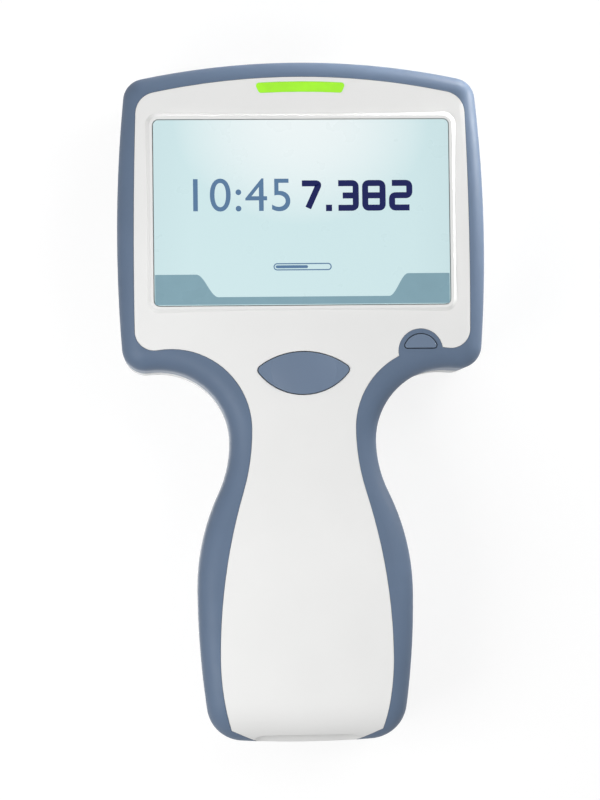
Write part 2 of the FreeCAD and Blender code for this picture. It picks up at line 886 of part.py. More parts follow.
# Levels and positions that follow from the dimensions
cavity_inset = band_thickness + wall
glass_y = top_y - glass_middle_from_top
bar_y = top_y - bar_from_top
scan_y = top_y - scan_from_top
power_y = top_y - power_from_top
glass_top_z = pad_z - glass_recess
glass_low_z = glass_top_z - glass_thickness
gasket_low_z = glass_low_z - gasket_thickness
lcd_low_z = glass_low_z - lcd_thickness
backlight_low_z = lcd_low_z - backlight_thickness
tray_low_z = backlight_low_z - tray_plate
tray_half_x = glass_width / 2 - ledge_width - lcd_side_gap
tray_half_y = glass_height / 2 - ledge_width - lcd_side_gap
tray_post_x = tray_half_x + tray_flange - tray_post_from_edge
tray_post_y = glass_height * tray_post_y_share
board_top_z = board_z + board_thickness
switch_top_z = board_top_z + switch_height
plunger_top_z = switch_top_z + plunger_reach
flange_low_z = plunger_top_z + button_foot
flange_top_z = flange_low_z + flange_thickness
pocket_top_z = flange_top_z + flange_top_gap
light_board_top_z = bar_flange_z - light_board_gap
floor_z = back_z + rear_back_wall
bore_top_z = back_z + housing_bore_depth
chassis_low_z = split_z + chassis_lift
chassis_top_z = chassis_low_z + chassis_plate
battery_y = top_y - battery_edge_from_top - battery_height / 2
battery_top_z = back_z + battery_depth
bay_roof_z = battery_top_z + bay_head_room
bay_top_y = battery_y + battery_height / 2 + battery_gap + bay_wall
latch_y = bay_top_y + latch_from_bay
slot_low_z = port_z - slot_height / 2
slot_high_z = port_z + slot_height / 2
guide_top_z = slot_high_z + guide_roof
guide_front_y = heel_y + cavity_inset + port_flange_thickness
guide_back_y = guide_front_y + slot_length
drive_z = port_z - port_drop
motor_wall_y = heel_y + motor_wall_from_heel
gear_high_y = motor_wall_y - gear_from_wall
gear_low_y = gear_high_y - gear_width
bulkhead_y = heel_y + bulkhead_from_heel
outer_bulkhead_y = heel_y + outer_bulkhead_from_heel
cheek_y = heel_y + cheek_from_heel
connector_y = heel_y + connector_from_heel
carriage_low_y = cheek_y - carriage_length
board_half_width = glass_width / 2 - board_side_margin
board_screw_x = board_half_width - board_screw_inset
speaker_y = heel_y + speaker_from_heel
dock_y = heel_y + dock_from_heel


def head_places(pairs):
    """Places of screws or feet of the head, on both sides, as X and Y."""
    return [(side * (head_width / 2 - inset), top_y - down) for inset, down in pairs for side in (-1, 1)]


def handle_places(pairs):
    """Places of screws or feet of the handle, on both sides, as X and Y."""
    return [(side * (handle_width / 2 - inset), heel_y + up) for inset, up in pairs for side in (-1, 1)]


def foot_places():
    return head_places(head_feet) + handle_places(handle_feet)


def plunger_places():
    """Places of the calibrant plunger and the bladder plunger, as X and Y."""
    return [(side * plunger_offset, heel_y + up) for side, up in zip((-1, 1), plungers_from_heel)]


def tray_posts():
    """Places of the four screws that hold the display tray."""
    return [(sx * tray_post_x, glass_y + sy * tray_post_y) for sx in (-1, 1) for sy in (-1, 1)]


def light_posts():
    return [(-light_post_x, bar_y), (light_post_x, bar_y)]


def board_screws_places():
    """Places of the screws that hold the main board to the tray's standoffs."""
    return [(side * board_screw_x, top_y - down) for side in (-1, 1) for down in board_screw_ys_from_top]


def port_cut():
    """Opening in the heel for the port bezel and its flange."""
    width = port_mouth[0] + 2 * port_gap
    height = port_mouth[1] + 2 * port_gap
    plug = end_slab(width, height, port_corner, port_z, heel_y - overrun, guide_front_y + fit_gap)
    flange_width = width + 2 * port_flange
    flange_height = height + 2 * port_flange
    flange_end = guide_front_y + port_lip_clear
    return plug.fuse(end_slab(flange_width, flange_height, 0, port_z, heel_y + cavity_inset, flange_end))


def posts_at(places, radius, low, high):
    return [post(x, y, radius, low, high) for x, y in places]


def make_front_housing(outer, recess):
    """White front half with the recess for the grip band, the screen pad and all openings."""
    panel = upright(panel_outline(0), split_z, handle_front_z + overrun).cut(power_mound(0))
    above = slab(head_width, heel_y - overrun, top_y + overrun, split_z, handle_front_z + overrun)
    shell = outer.common(panel).fuse(recess).common(above)
    cavity = upright(body_outline(cavity_inset), split_z - overrun, handle_front_z)
    cavity = cavity.common(front_limit(cavity_inset))
    shell = shell.cut(cavity).fuse(screen_pad().common(above).cut(cavity))
    posts = posts_at(head_places(head_screws), front_post_radius, split_z, handle_front_z)
    posts += posts_at(handle_places(handle_screws), front_post_radius, chassis_top_z, handle_front_z)
    posts += posts_at(tray_posts(), tray_post_radius, backlight_low_z, glass_low_z)
    posts += posts_at(light_posts(), light_post_radius, light_board_top_z, glass_low_z)
    shell = shell.fuse([p.common(recess) for p in posts])
    cutters = [
        glass_plate(glass_gap, gasket_low_z, handle_front_z),
        glass_plate(-ledge_width, board_z, handle_front_z),
        status_bar(0, board_z, handle_front_z),
        scan_plate(scan_gap, board_z, handle_front_z + overrun),
        scan_plate(scan_flange + scan_gap, board_z, pocket_top_z),
        power_plate(power_gap, board_z, handle_front_z + overrun),
        power_plate(power_flange + power_gap, board_z, pocket_top_z),
        port_cut(),
    ]
    screws = head_places(head_screws) + handle_places(handle_screws)
    low = light_board_top_z - light_board_thickness
    cutters += posts_at(screws, housing_screw_radius, split_z, split_z + housing_screw_reach)
    cutters += posts_at(tray_posts(), small_screw_radius, tray_low_z, tray_low_z + small_screw_length)
    cutters += posts_at(light_posts(), small_screw_radius, low, low + small_screw_length)
    scoop = [Part.makeCylinder(scoop_radius, 2 * scoop_half_length, scoop_end(-1), Vector(1, 0, 0))]
    scoop += [Part.makeSphere(scoop_radius, scoop_end(side)) for side in (-1, 1)]
    cutters += scoop
    for cutter in cutters:
        shell = shell.cut(cutter)
    return shell


def scoop_end(side):
    """One end of the shallow trough over the port that guides the cartridge."""
    return Vector(side * scoop_half_length, heel_y - scoop_out, scoop_z)


def make_grip_band(outer, recess):
    """Blue-grey band that wraps the edge of the front half and runs down both sides of the handle."""
    high = handle_front_z + overrun
    panel = upright(panel_outline(-fit_gap), split_z - overrun, high).cut(power_mound(-fit_gap))
    above = slab(head_width, heel_y - overrun, top_y + overrun, split_z + band_groove, high)
    band = outer.common(above).cut(recess).cut(panel)
    band = band.cut(power_plate(power_gap, board_z, high))
    return band.cut(port_cut())


def make_rear_housing(outer):
    """Light grey rear half with the battery bay, the lip that centres the front half and the screw bosses."""
    below = slab(head_width, heel_y - overrun, top_y + overrun, back_z - overrun, split_z)
    cavity = upright(body_outline(rear_side_wall), back_z - overrun, split_z)
    shell = outer.common(below).cut(cavity.common(back_limit(rear_back_wall)))
    lip_outer = cavity_inset + fit_gap
    lip_inner = lip_outer + lip_thickness
    lip_low = split_z - lip_height
    shell = shell.fuse(ring_between(lip_outer, lip_inner, lip_low, split_z + lip_height))
    shell = shell.fuse(ring_between(rear_side_wall - fit_gap, lip_outer + fit_gap, lip_low, split_z))
    bosses = posts_at(head_places(head_screws), rear_post_radius, back_z, split_z)
    bosses += posts_at(handle_places(handle_screws), rear_post_radius, back_z, chassis_low_z)
    grown = battery_gap + bay_wall
    bosses.append(
        rounded_slab(
            0, battery_y, battery_length + 2 * grown, battery_height + 2 * grown,
            battery_corner + grown, floor_z - fit_gap, bay_roof_z + bay_wall
        )
    )
    boss_half = latch_width / 2 + latch_rail + latch_gap + latch_boss_rim
    boss_low_y = bay_top_y - bay_wall
    boss_high_y = latch_y + latch_length + latch_travel + latch_gap + latch_boss_rim
    boss_top_z = back_z + latch_face_recess + latch_thickness + latch_gap + latch_boss_roof
    bosses.append(slab(boss_half, boss_low_y, boss_high_y, floor_z - fit_gap, boss_top_z))
    shell = shell.fuse([b.common(outer) for b in bosses])
    for cutter in rear_cutters():
        shell = shell.cut(cutter)
    return shell


def rear_cutters():
    """Everything that is cut out of the rear half."""
    seal_inner = rear_side_wall - fit_gap
    cutters = [ring_between(seal_inner - seal_size, seal_inner, split_z - seal_size, split_z)]
    cutters.append(
        rounded_slab(
            0, battery_y, battery_length + 2 * battery_gap, battery_height + 2 * battery_gap,
            battery_corner + battery_gap, back_z - overrun, bay_roof_z
        )
    )
    latch_end_y = latch_y + latch_length + latch_travel + latch_gap
    latch_start_y = latch_y - latch_gap
    face_z = back_z + latch_face_recess + latch_thickness - latch_rail_thickness
    roof_z = back_z + latch_face_recess + latch_thickness + latch_gap
    open_half = latch_width / 2 + latch_gap
    cutters.append(slab(open_half, latch_start_y, latch_end_y, back_z - overrun, roof_z))
    cutters.append(slab(open_half + latch_rail, latch_start_y, latch_end_y, face_z - latch_gap, roof_z))
    tongue_z = roof_z - latch_gap - latch_rail_thickness
    cutters.append(
        slab(
            tongue_width / 2 + latch_gap, battery_y, latch_y,
            tongue_z - latch_gap, tongue_z + tongue_thickness + latch_gap
        )
    )
    low = back_z - overrun
    high = split_z + overrun
    screws = head_places(head_screws) + handle_places(handle_screws)
    cutters += posts_at(foot_places(), foot_radius, low, back_z + foot_seat)
    cutters += posts_at(head_places(head_screws), front_post_radius + slide_gap, split_z, high)
    cutters += posts_at(screws, housing_bore_radius, low, bore_top_z)
    cutters += posts_at(screws, housing_screw_radius + screw_hole_gap, bore_top_z, high)
    middle = (grille_slot_count - 1) / 2
    for slot in range(grille_slot_count):
        y = speaker_y + (slot - middle) * grille_pitch
        cutters.append(
            rounded_slab(
                0, y, grille_slot_length, grille_slot_width,
                grille_slot_width / 2 - fit_gap, back_z - overrun, floor_z + fit_gap
            )
        )
    cutters += dock_pads(low)
    face_y = top_y - window_sag - window_recess
    seat = 2 * window_seat
    high_y = top_y + overrun
    cutters.append(
        end_slab(window_length, window_height, window_corner, window_z, face_y - window_thickness, high_y)
    )
    cutters.append(
        end_slab(
            window_length - seat, window_height - seat, window_corner / 2,
            window_z, top_y - overrun, high_y
        )
    )
    cutters.append(port_cut())
    return cutters


def dock_pads(low):
    """Dock pads across the back of the heel, from a level up to their inner faces."""
    half_x = dock_pad_size[0] / 2
    half_y = dock_pad_size[1] / 2
    high = back_z + dock_pad_recess + dock_pad_size[2]
    middle = (pad_count - 1) / 2
    pads = []
    for place in range(pad_count):
        x = (place - middle) * pad_pitch
        pads.append(box(x - half_x, x + half_x, dock_y - half_y, dock_y + half_y, low, high))
    return pads


def make_shell_parts():
    """The outside of the analyser and what seals it."""
    outer = body_solid(0, 0, 0)
    recess = body_solid(band_thickness, band_thickness, band_thickness)
    front = make_front_housing(outer, recess)
    band = make_grip_band(outer, recess)
    rear = make_rear_housing(outer)
    seal_inner = rear_side_wall - fit_gap
    seal = ring_between(seal_inner - seal_size, seal_inner, split_z - seal_size, split_z)
    feet = []
    for x, y in foot_places():
        foot = post(x, y, foot_radius, 0, back_z + foot_seat)
        rim = [e for e in foot.Edges if e.BoundBox.ZLength < fit_gap and e.BoundBox.ZMin < fit_gap]
        feet.append(foot.makeFillet(foot_edge, rim))
    screws = []
    head_z = bore_top_z - housing_head_height
    socket_z = bore_top_z - housing_head_height / 2
    for x, y in head_places(head_screws) + handle_places(handle_screws):
        head = post(x, y, housing_head_radius, head_z, bore_top_z)
        socket = post(x, y, housing_screw_radius, head_z, socket_z)
        shank = post(x, y, housing_screw_radius, bore_top_z, split_z + housing_screw_reach)
        screws.append(head.cut(socket).fuse(shank))
    pads = dock_pads(back_z + dock_pad_recess)
    return {
        "front_housing": front,
        "grip_band": band,
        "rear_housing": rear,
        "housing_seal": seal.cut(port_cut()),
        "rear_feet": group(feet),
        "housing_screws": group(screws),
        "dock_contacts": group(pads),
    }


def make_screen_parts():
    """Touch glass, display, its tray and the status light."""
    glass = glass_plate(0, glass_low_z, glass_top_z)
    gasket = glass_plate(0, gasket_low_z, glass_low_z)
    gasket = gasket.cut(glass_plate(-gasket_width, gasket_low_z, glass_low_z))
    lcd_x = tray_half_x - tray_sheet - fit_gap
    lcd_y = tray_half_y - tray_sheet - fit_gap
    lcd = slab(lcd_x, glass_y - lcd_y, glass_y + lcd_y, lcd_low_z, glass_low_z)
    backlight = slab(lcd_x, glass_y - lcd_y, glass_y + lcd_y, backlight_low_z, lcd_low_z)
    plate_x = tray_half_x + tray_flange
    plate_y = tray_half_y + tray_flange
    plate = slab(plate_x, glass_y - plate_y, glass_y + plate_y, tray_low_z, backlight_low_z)
    rim_top = glass_low_z - tray_rim_drop
    rim = slab(tray_half_x, glass_y - tray_half_y, glass_y + tray_half_y, tray_low_z, rim_top)
    hollow_x = tray_half_x - tray_sheet
    hollow_y = tray_half_y - tray_sheet
    hollow = slab(hollow_x, glass_y - hollow_y, glass_y + hollow_y, backlight_low_z, glass_low_z)
    standoffs = [post(x, y, standoff_radius, board_top_z, tray_low_z) for x, y in board_screws_places()]
    tray = joined([plate, rim] + standoffs).cut(hollow)
    for x, y in tray_posts():
        tray = tray.cut(post(x, y, small_screw_radius, tray_low_z, backlight_low_z))
    for x, y in board_screws_places():
        tray = tray.cut(post(x, y, small_screw_radius, board_z, board_z + small_screw_length))
    tray_screws = [small_screw(x, y, tray_low_z) for x, y in tray_posts()]
    bar = status_bar(-fit_gap, bar_flange_z, handle_front_z).common(front_limit(0))
    bar = bar.fuse(status_bar(bar_flange, bar_flange_z, bar_flange_z + bar_flange_height)).removeSplitter()
    board_low = light_board_top_z - light_board_thickness
    light_board = slab(
        light_board_length / 2, bar_y - light_board_height / 2, bar_y + light_board_height / 2,
        board_low, light_board_top_z
    )
    for x, y in light_posts():
        light_board = light_board.cut(post(x, y, small_screw_radius, board_low, light_board_top_z))
    middle = (led_count - 1) / 2
    half = led_size / 2
    led_top_z = light_board_top_z + led_height
    leds = []
    for place in range(led_count):
        x = (place - middle) * led_pitch
        leds.append(box(x - half, x + half, bar_y - half, bar_y + half, light_board_top_z, led_top_z))
    return {
        "touch_glass": glass,
        "screen_gasket": gasket,
        "lcd_panel": lcd,
        "lcd_backlight": backlight,
        "lcd_tray": tray,
        "tray_screws": group(tray_screws),
        "light_bar": bar,
        "light_board": light_board,
        "status_leds": group(leds),
    }


def switch_parts(x, y, travel):
    """Push switch on the main board: its body, the plunger under the button and the rubber dome."""
    half = switch_width / 2
    body = box(x - half, x + half, y - half, y + half, board_top_z, switch_top_z)
    body = body.cut(post(x, y, plunger_radius + plunger_gap, board_top_z + switch_floor, switch_top_z))
    plunger_low = board_top_z + switch_floor + travel + slide_gap
    plunger = post(x, y, plunger_radius, plunger_low, plunger_top_z)
    profile = [
        Vector(x + dome_radius, y, board_top_z),
        Vector(x + dome_top_radius, y, flange_low_z),
        Vector(x + dome_top_radius - dome_wall, y, flange_low_z),
        Vector(x + dome_radius - dome_wall, y, board_top_z),
    ]
    profile.append(profile[0])
    dome = Part.Face(Part.makePolygon(profile)).revolve(Vector(x, y, 0), Vector(0, 0, 1), 360)
    return body, plunger, dome


def make_button_parts():
    """Scan button and power button with their switches."""
    scan_top = front_height(0, scan_y) + scan_stand
    scan = joined(
        [
            scan_plate(0, flange_low_z, scan_top),
            scan_plate(scan_flange, flange_low_z, flange_top_z),
            post(0, scan_y, 2 * plunger_radius, plunger_top_z, flange_low_z),
        ]
    )
    dish_z = scan_top - scan_dish_depth + scan_dish_radius
    scan = scan.cut(Part.makeSphere(scan_dish_radius, Vector(0, scan_y, dish_z)))
    switch_y = power_y + power_switch_rise
    power_top = front_height(power_x, power_y) + power_stand
    power = joined(
        [
            power_plate(0, flange_low_z, power_top),
            power_plate(power_flange, flange_low_z, flange_top_z),
            post(power_x, switch_y, 2 * plunger_radius, plunger_top_z, flange_low_z),
        ]
    )
    scan_switch, scan_plunger, scan_dome = switch_parts(0, scan_y, scan_travel)
    power_switch, power_plunger, power_dome = switch_parts(power_x, switch_y, power_travel)
    return {
        "scan_button": scan,
        "scan_switch": scan_switch,
        "scan_switch_plunger": scan_plunger,
        "scan_button_dome": scan_dome,
        "power_button": power,
        "power_switch": power_switch,
        "power_switch_plunger": power_plunger,
        "power_button_dome": power_dome,
    }


def make_board_parts():
    """Main board with what is soldered to it."""
    board_high_y = top_y - board_from_top
    board_low_y = top_y - board_low_from_top
    tongue_y = top_y - board_tongue_low_from_top
    board = joined(
        [
            slab(board_half_width, board_low_y, board_high_y, board_z, board_top_z),
            slab(board_tongue_half, tongue_y, board_high_y, board_z, board_top_z),
        ]
    )
    for x, y in board_screws_places():
        board = board.cut(post(x, y, small_screw_radius, board_z, board_top_z))
    screws = [small_screw(x, y, board_z) for x, y in board_screws_places()]
    screws += [small_screw(x, y, light_board_top_z - light_board_thickness) for x, y in light_posts()]

    def chip(place, size, corner):
        y = top_y - place[1]
        return rounded_slab(place[0], y, size[0], size[1], corner, board_z - size[2], board_z)

    ribbon_y = top_y - ribbon_from_top
    half_loop = (tray_low_z - board_top_z) / 2
    middle_z = (tray_low_z + board_top_z) / 2
    ribbon_face = loop_face(ribbon_y, middle_z, half_loop, ribbon_thickness, ribbon_leg)
    ribbon = ribbon_face.extrude(Vector(ribbon_width, 0, 0))
    ribbon.translate(Vector(-ribbon_width / 2, 0, 0))
    coin_y = top_y - coin_from_top[1]
    return {
        "main_board": board,
        "board_screws": group(screws),
        "processor_shield": chip(shield_from_top, shield_size, shield_corner),
        "radio_module": chip(radio_from_top, radio_size, radio_corner),
        "coin_cell": post(coin_from_top[0], coin_y, coin_radius, board_z - coin_thickness, board_z),
        "display_ribbon": ribbon,
    }


def loop_face(y, z, radius, thickness, leg):
    """U-shaped strip in the YZ plane: two legs that are joined by a half turn."""
    quarter = math.pi / 2
    turn = arc(Vector(0, y, z), radius, quarter, 3 * quarter, "yz")
    inner_turn = arc(Vector(0, y, z), radius - thickness, quarter, 3 * quarter, "yz")
    edges = [turn, inner_turn]
    for side in (-1, 1):
        outer_z = z + side * radius
        inner_z = z + side * (radius - thickness)
        edges.append(Part.makeLine(Vector(0, y, outer_z), Vector(0, y + leg, outer_z)))
        edges.append(Part.makeLine(Vector(0, y, inner_z), Vector(0, y + leg, inner_z)))
        edges.append(Part.makeLine(Vector(0, y + leg, outer_z), Vector(0, y + leg, inner_z)))
    return Part.Face(Part.Wire(Part.__sortEdges__(edges)))


def make_rear_parts():
    """Barcode reader, battery and its latch, and speaker, all in the rear half."""
    face_y = top_y - window_sag - window_recess
    inner_y = face_y - window_thickness
    window = end_slab(window_length, window_height, window_corner, window_z, inner_y, face_y)
    width, depth, height = reader_size
    reader_y = top_y - reader_from_top
    y_low = reader_y - depth / 2
    y_high = reader_y + depth / 2
    reader_low_z = floor_z + bracket_sheet + reader_rise
    reader = slab(width / 2, y_low, y_high, reader_low_z, reader_low_z + height)
    lens_z = reader_low_z + height / 2
    lens = axle(0, lens_z, reader_lens_radius, y_high, y_high + reader_lens_length)
    cheek_in = width / 2
    cheek_out = cheek_in + bracket_sheet
    cheek_top = reader_low_z + bracket_cheek_height
    bracket = joined(
        [
            slab(cheek_out, y_low, y_high, floor_z, floor_z + bracket_sheet),
            slab(bracket_pedestal_half, y_low, y_high, floor_z, reader_low_z),
            box(cheek_in, cheek_out, y_low, y_high, floor_z, cheek_top),
            box(-cheek_out, -cheek_in, y_low, y_high, floor_z, cheek_top),
        ]
    )
    case_top = battery_top_z - lid_thickness
    case = rounded_slab(0, battery_y, battery_length, battery_height, battery_corner, back_z, case_top)
    room_x = battery_length - 2 * battery_wall
    room_y = battery_height - 2 * battery_wall
    room_low_z = back_z + battery_wall
    case = case.cut(
        rounded_slab(0, battery_y, room_x, room_y, battery_corner - battery_wall, room_low_z, case_top)
    )
    grip_z = back_z - battery_grip_radius + battery_grip_depth
    grip_length = battery_length * battery_grip_share
    for side in (-1, 1):
        groove_y = battery_y + side * battery_height * battery_grip_y_share
        start = Vector(-grip_length / 2, groove_y, grip_z)
        case = case.cut(Part.makeCylinder(battery_grip_radius, grip_length, start, Vector(1, 0, 0)))
    lid = rounded_slab(0, battery_y, battery_length, battery_height, battery_corner, case_top, battery_top_z)
    cells = []
    middle = (cell_count - 1) / 2
    pitch = (room_y - 2 * cell_radius - 2 * fit_gap) / (cell_count - 1)
    for place in range(cell_count):
        y = battery_y + (place - middle) * pitch
        start = Vector(-cell_length / 2, y, room_low_z + cell_radius)
        end = start + Vector(cell_length, 0, 0)
        body = Part.makeCylinder(cell_radius, cell_length, start, Vector(1, 0, 0))
        cap = Part.makeCylinder(cell_cap_radius, cell_cap_length, end, Vector(1, 0, 0))
        cells.append(body.fuse(cap))
    contact_x, contact_y = contact_size
    contacts = []
    row_middle = (contact_count - 1) / 2
    row_y = battery_y + battery_height * contact_y_share
    for place in range(contact_count):
        x = (place - row_middle) * contact_pitch
        contacts.append(
            box(
                x - contact_x / 2, x + contact_x / 2, row_y - contact_y / 2, row_y + contact_y / 2,
                battery_top_z + contact_rise, bay_roof_z
            )
        )
    speaker = post(0, speaker_y, speaker_radius, floor_z, floor_z + speaker_height)
    speaker = speaker.cut(post(0, speaker_y, speaker_cone_radius, floor_z, floor_z + speaker_cone_depth))
    return {
        "reader_window": window,
        "reader_module": reader,
        "reader_lens": lens,
        "reader_bracket": bracket,
        "battery_case": case,
        "battery_lid": lid,
        "battery_cells": group(cells),
        "battery_contacts": group(contacts),
        "battery_latch": make_latch(),
        "latch_spring": make_latch_spring(),
        "speaker": speaker,
    }


def make_latch():
    """Sliding catch of the battery, held in its recess by two rails."""
    low_z = back_z + latch_face_recess
    high_z = low_z + latch_thickness
    rail_low_z = high_z - latch_rail_thickness
    latch_high_y = latch_y + latch_length
    latch = joined(
        [
            slab(latch_width / 2, latch_y, latch_high_y, low_z, high_z),
            slab(latch_width / 2 + latch_rail, latch_y, latch_high_y, rail_low_z, high_z),
            slab(
                tongue_width / 2, battery_y + battery_height / 2 + tongue_clear, latch_high_y,
                rail_low_z, rail_low_z + tongue_thickness
            ).common(slab(tongue_width / 2, battery_y, latch_high_y, rail_low_z, high_z)),
        ]
    )
    pocket = latch_spring_radius + latch_spring_wire + latch_pocket_gap
    pocket_low_y = latch_high_y - latch_spring_length - slide_gap
    pocket_z = high_z - pocket
    latch = latch.cut(axle(0, pocket_z, pocket, pocket_low_y, latch_high_y))
    middle = (latch_rib_count - 1) / 2
    for rib in range(latch_rib_count):
        y = latch_y + latch_length / 2 + (rib - middle) * latch_rib_pitch
        half = latch_rib_size / 2
        rib_half_x = latch_width * latch_rib_half_share
        latch = latch.cut(slab(rib_half_x, y - half, y + half, back_z, low_z + latch_rib_size))
    return latch


def make_latch_spring():
    """Coil that pushes the latch towards the battery; it stands on the end wall of the latch recess."""
    end_y = latch_y + latch_length + latch_travel + latch_gap
    pocket = latch_spring_radius + latch_spring_wire + latch_pocket_gap
    pocket_z = back_z + latch_face_recess + latch_thickness - pocket
    spring = coil(latch_spring_radius, latch_spring_wire, latch_spring_length, latch_spring_turns)
    spring.rotate(Vector(0, 0, 0), Vector(1, 0, 0), 90)
    spring.translate(Vector(0, end_y - latch_spring_wire, pocket_z))
    return spring


def make_port_parts():
    """Bezel of the cartridge port, the guide behind it and the frame of the mechanism."""
    width, height = port_mouth
    mouth_radius = heel_radius - port_recess
    disc = post(0, heel_y + heel_radius, mouth_radius, split_z - overrun, handle_front_z)
    plug = end_slab(width, height, port_corner, port_z, heel_y, guide_front_y).common(disc)
    flange = end_slab(
        width + 2 * port_flange, height + 2 * port_flange, 0, port_z, heel_y + cavity_inset, guide_front_y
    )
    bezel = plug.fuse(flange).removeSplitter()
    funnel_end = heel_y + port_recess + funnel_depth
    funnel = Part.makeLoft(
        [
            end_wire(funnel_mouth[0], funnel_mouth[1], funnel_corner, port_z, heel_y),
            end_wire(2 * slot_half_width, slot_height, funnel_corner / 2, port_z, funnel_end),
        ],
        True,
        True,
    )
    bezel = bezel.cut(funnel)
    throat_y = funnel_end - fit_gap
    bezel = bezel.cut(end_slab(2 * slot_half_width, slot_height, 0, port_z, throat_y, guide_back_y))
    guide_half = slot_half_width + guide_wall
    guide = slab(guide_half, guide_front_y, guide_back_y + guide_wall, chassis_top_z, guide_top_z)
    guide = guide.cut(slab(slot_half_width, guide_front_y, guide_back_y, slot_low_z, slot_high_z))
    window_x = connector_half_width + connector_window_gap
    window_low_y = connector_y - connector_length / 2 - connector_window_gap
    window_high_y = connector_y + connector_length / 2 + connector_window_gap
    guide = guide.cut(slab(window_x, window_low_y, window_high_y, slot_high_z, guide_top_z))
    for (x, y), stem_radius in zip(plunger_places(), plunger_stem_radii):
        guide = guide.cut(post(x, y, stem_radius + plunger_bush_gap, slot_high_z, guide_top_z))
    return {
        "port_bezel": bezel,
        "cartridge_guide": guide,
        "mech_chassis": make_chassis(),
    }


def make_chassis():
    """Frame of the mechanism: a plate clamped between the housing bosses, with three cross walls."""
    wall_high_y = motor_wall_y + motor_wall_thickness
    pieces = [slab(chassis_half_width, outer_bulkhead_y, wall_high_y, chassis_low_z, chassis_top_z)]
    arm = chassis_arm_half_length
    for x, y in handle_places(handle_screws):
        pieces.append(slab(abs(x) + arm, y - arm, y + arm, chassis_low_z, chassis_top_z))
    gear_tip = gear_module * gear_teeth / 2 + gear_module
    wall_low_z = drive_z - motor_radius - motor_wall_edge
    wall_high_z = drive_z + motor_radius + motor_wall_edge
    wall_low_x = motor_x - motor_radius - motor_wall_edge
    wall_high_x = motor_x + motor_radius + motor_wall_edge
    pieces.append(box(wall_low_x, wall_high_x, motor_wall_y, wall_high_y, wall_low_z, wall_high_z))
    bulkhead_low_y = bulkhead_y - bulkhead_thickness
    pieces.append(slab(chassis_half_width, bulkhead_low_y, bulkhead_y, chassis_low_z, bulkhead_top_z))
    outer_high_y = outer_bulkhead_y + outer_bulkhead_thickness
    for side in (-1, 1):
        low_x = side * rail_x - cheek_half_width
        high_x = side * rail_x + cheek_half_width
        pieces.append(box(low_x, high_x, outer_bulkhead_y, outer_high_y, chassis_low_z, outer_bulkhead_top_z))
    chassis = joined(pieces).common(
        upright(body_outline(chassis_edge_inset), split_z - overrun, handle_front_z)
    )
    slot_low_x = motor_x - gear_module * pinion_teeth / 2 - gear_module
    slot_low_y = gear_low_y - running_gap - gear_hub_length
    slot_high_y = gear_high_y + gear_hub_length
    slot_low_z = chassis_low_z - overrun
    cutters = [
        box(slot_low_x, rail_x + gear_tip, slot_low_y, slot_high_y, slot_low_z, drive_z),
        axle(motor_x, drive_z, motor_boss_radius, motor_wall_y, wall_high_y),
        axle(rail_x, drive_z, bush_radius, bulkhead_low_y, bulkhead_y),
        axle(rail_x, drive_z, bush_radius, outer_bulkhead_y, outer_high_y),
    ]
    for side in (-1, 1):
        cutters.append(axle(side * rail_x, rail_z, rail_radius, outer_bulkhead_y, bulkhead_y))
    hole_radius = housing_screw_radius + screw_hole_gap
    cutters += posts_at(handle_places(handle_screws), hole_radius, chassis_low_z, chassis_top_z)
    for cutter in cutters:
        chassis = chassis.cut(cutter)
    return chassis


def make_drive_parts():
    """Motor, gears and lead screw that pull the cam carriage along."""
    wall_high_y = motor_wall_y + motor_wall_thickness
    can = axle(motor_x, drive_z, motor_radius, wall_high_y, wall_high_y + motor_length)
    can = can.fuse(axle(motor_x, drive_z, motor_boss_radius, motor_wall_y, wall_high_y)).removeSplitter()
    depth_y = motor_wall_y + motor_shaft_depth
    can = can.cut(axle(motor_x, drive_z, motor_shaft_radius + running_gap, motor_wall_y, depth_y))
    pinion_low_y = (gear_low_y + gear_high_y - pinion_width) / 2
    shaft = axle(motor_x, drive_z, motor_shaft_radius, pinion_low_y, depth_y - slide_gap)
    pinion = gear(motor_x, drive_z, pinion_teeth, pinion_low_y, pinion_low_y + pinion_width, 0)
    pinion = pinion.cut(axle(motor_x, drive_z, motor_shaft_radius, pinion_low_y, pinion_low_y + pinion_width))
    wheel = gear(rail_x, drive_z, gear_teeth, gear_low_y, gear_high_y, math.pi / gear_teeth)
    wheel = wheel.fuse(axle(rail_x, drive_z, gear_hub_radius, gear_low_y, gear_high_y + gear_hub_length))
    wheel = wheel.cut(axle(rail_x, drive_z, drive_screw_radius, gear_low_y, gear_high_y + gear_hub_length))
    screw = axle(rail_x, drive_z, drive_screw_radius, outer_bulkhead_y, gear_high_y + gear_hub_length)
    bushes = []
    bore = drive_screw_radius + running_gap
    walls = (
        (bulkhead_y - bulkhead_thickness, bulkhead_y),
        (outer_bulkhead_y, outer_bulkhead_y + outer_bulkhead_thickness),
    )
    for low, high in walls:
        bush = axle(rail_x, drive_z, bush_radius, low, high)
        bushes.append(bush.cut(axle(rail_x, drive_z, bore, low, high)))
    rods = [axle(side * rail_x, rail_z, rail_radius, outer_bulkhead_y, bulkhead_y) for side in (-1, 1)]
    return {
        "drive_motor": can,
        "motor_shaft": shaft,
        "motor_pinion": pinion,
        "screw_gear": wheel,
        "lead_screw": screw,
        "screw_bushes": group(bushes),
        "guide_rods": group(rods),
    }


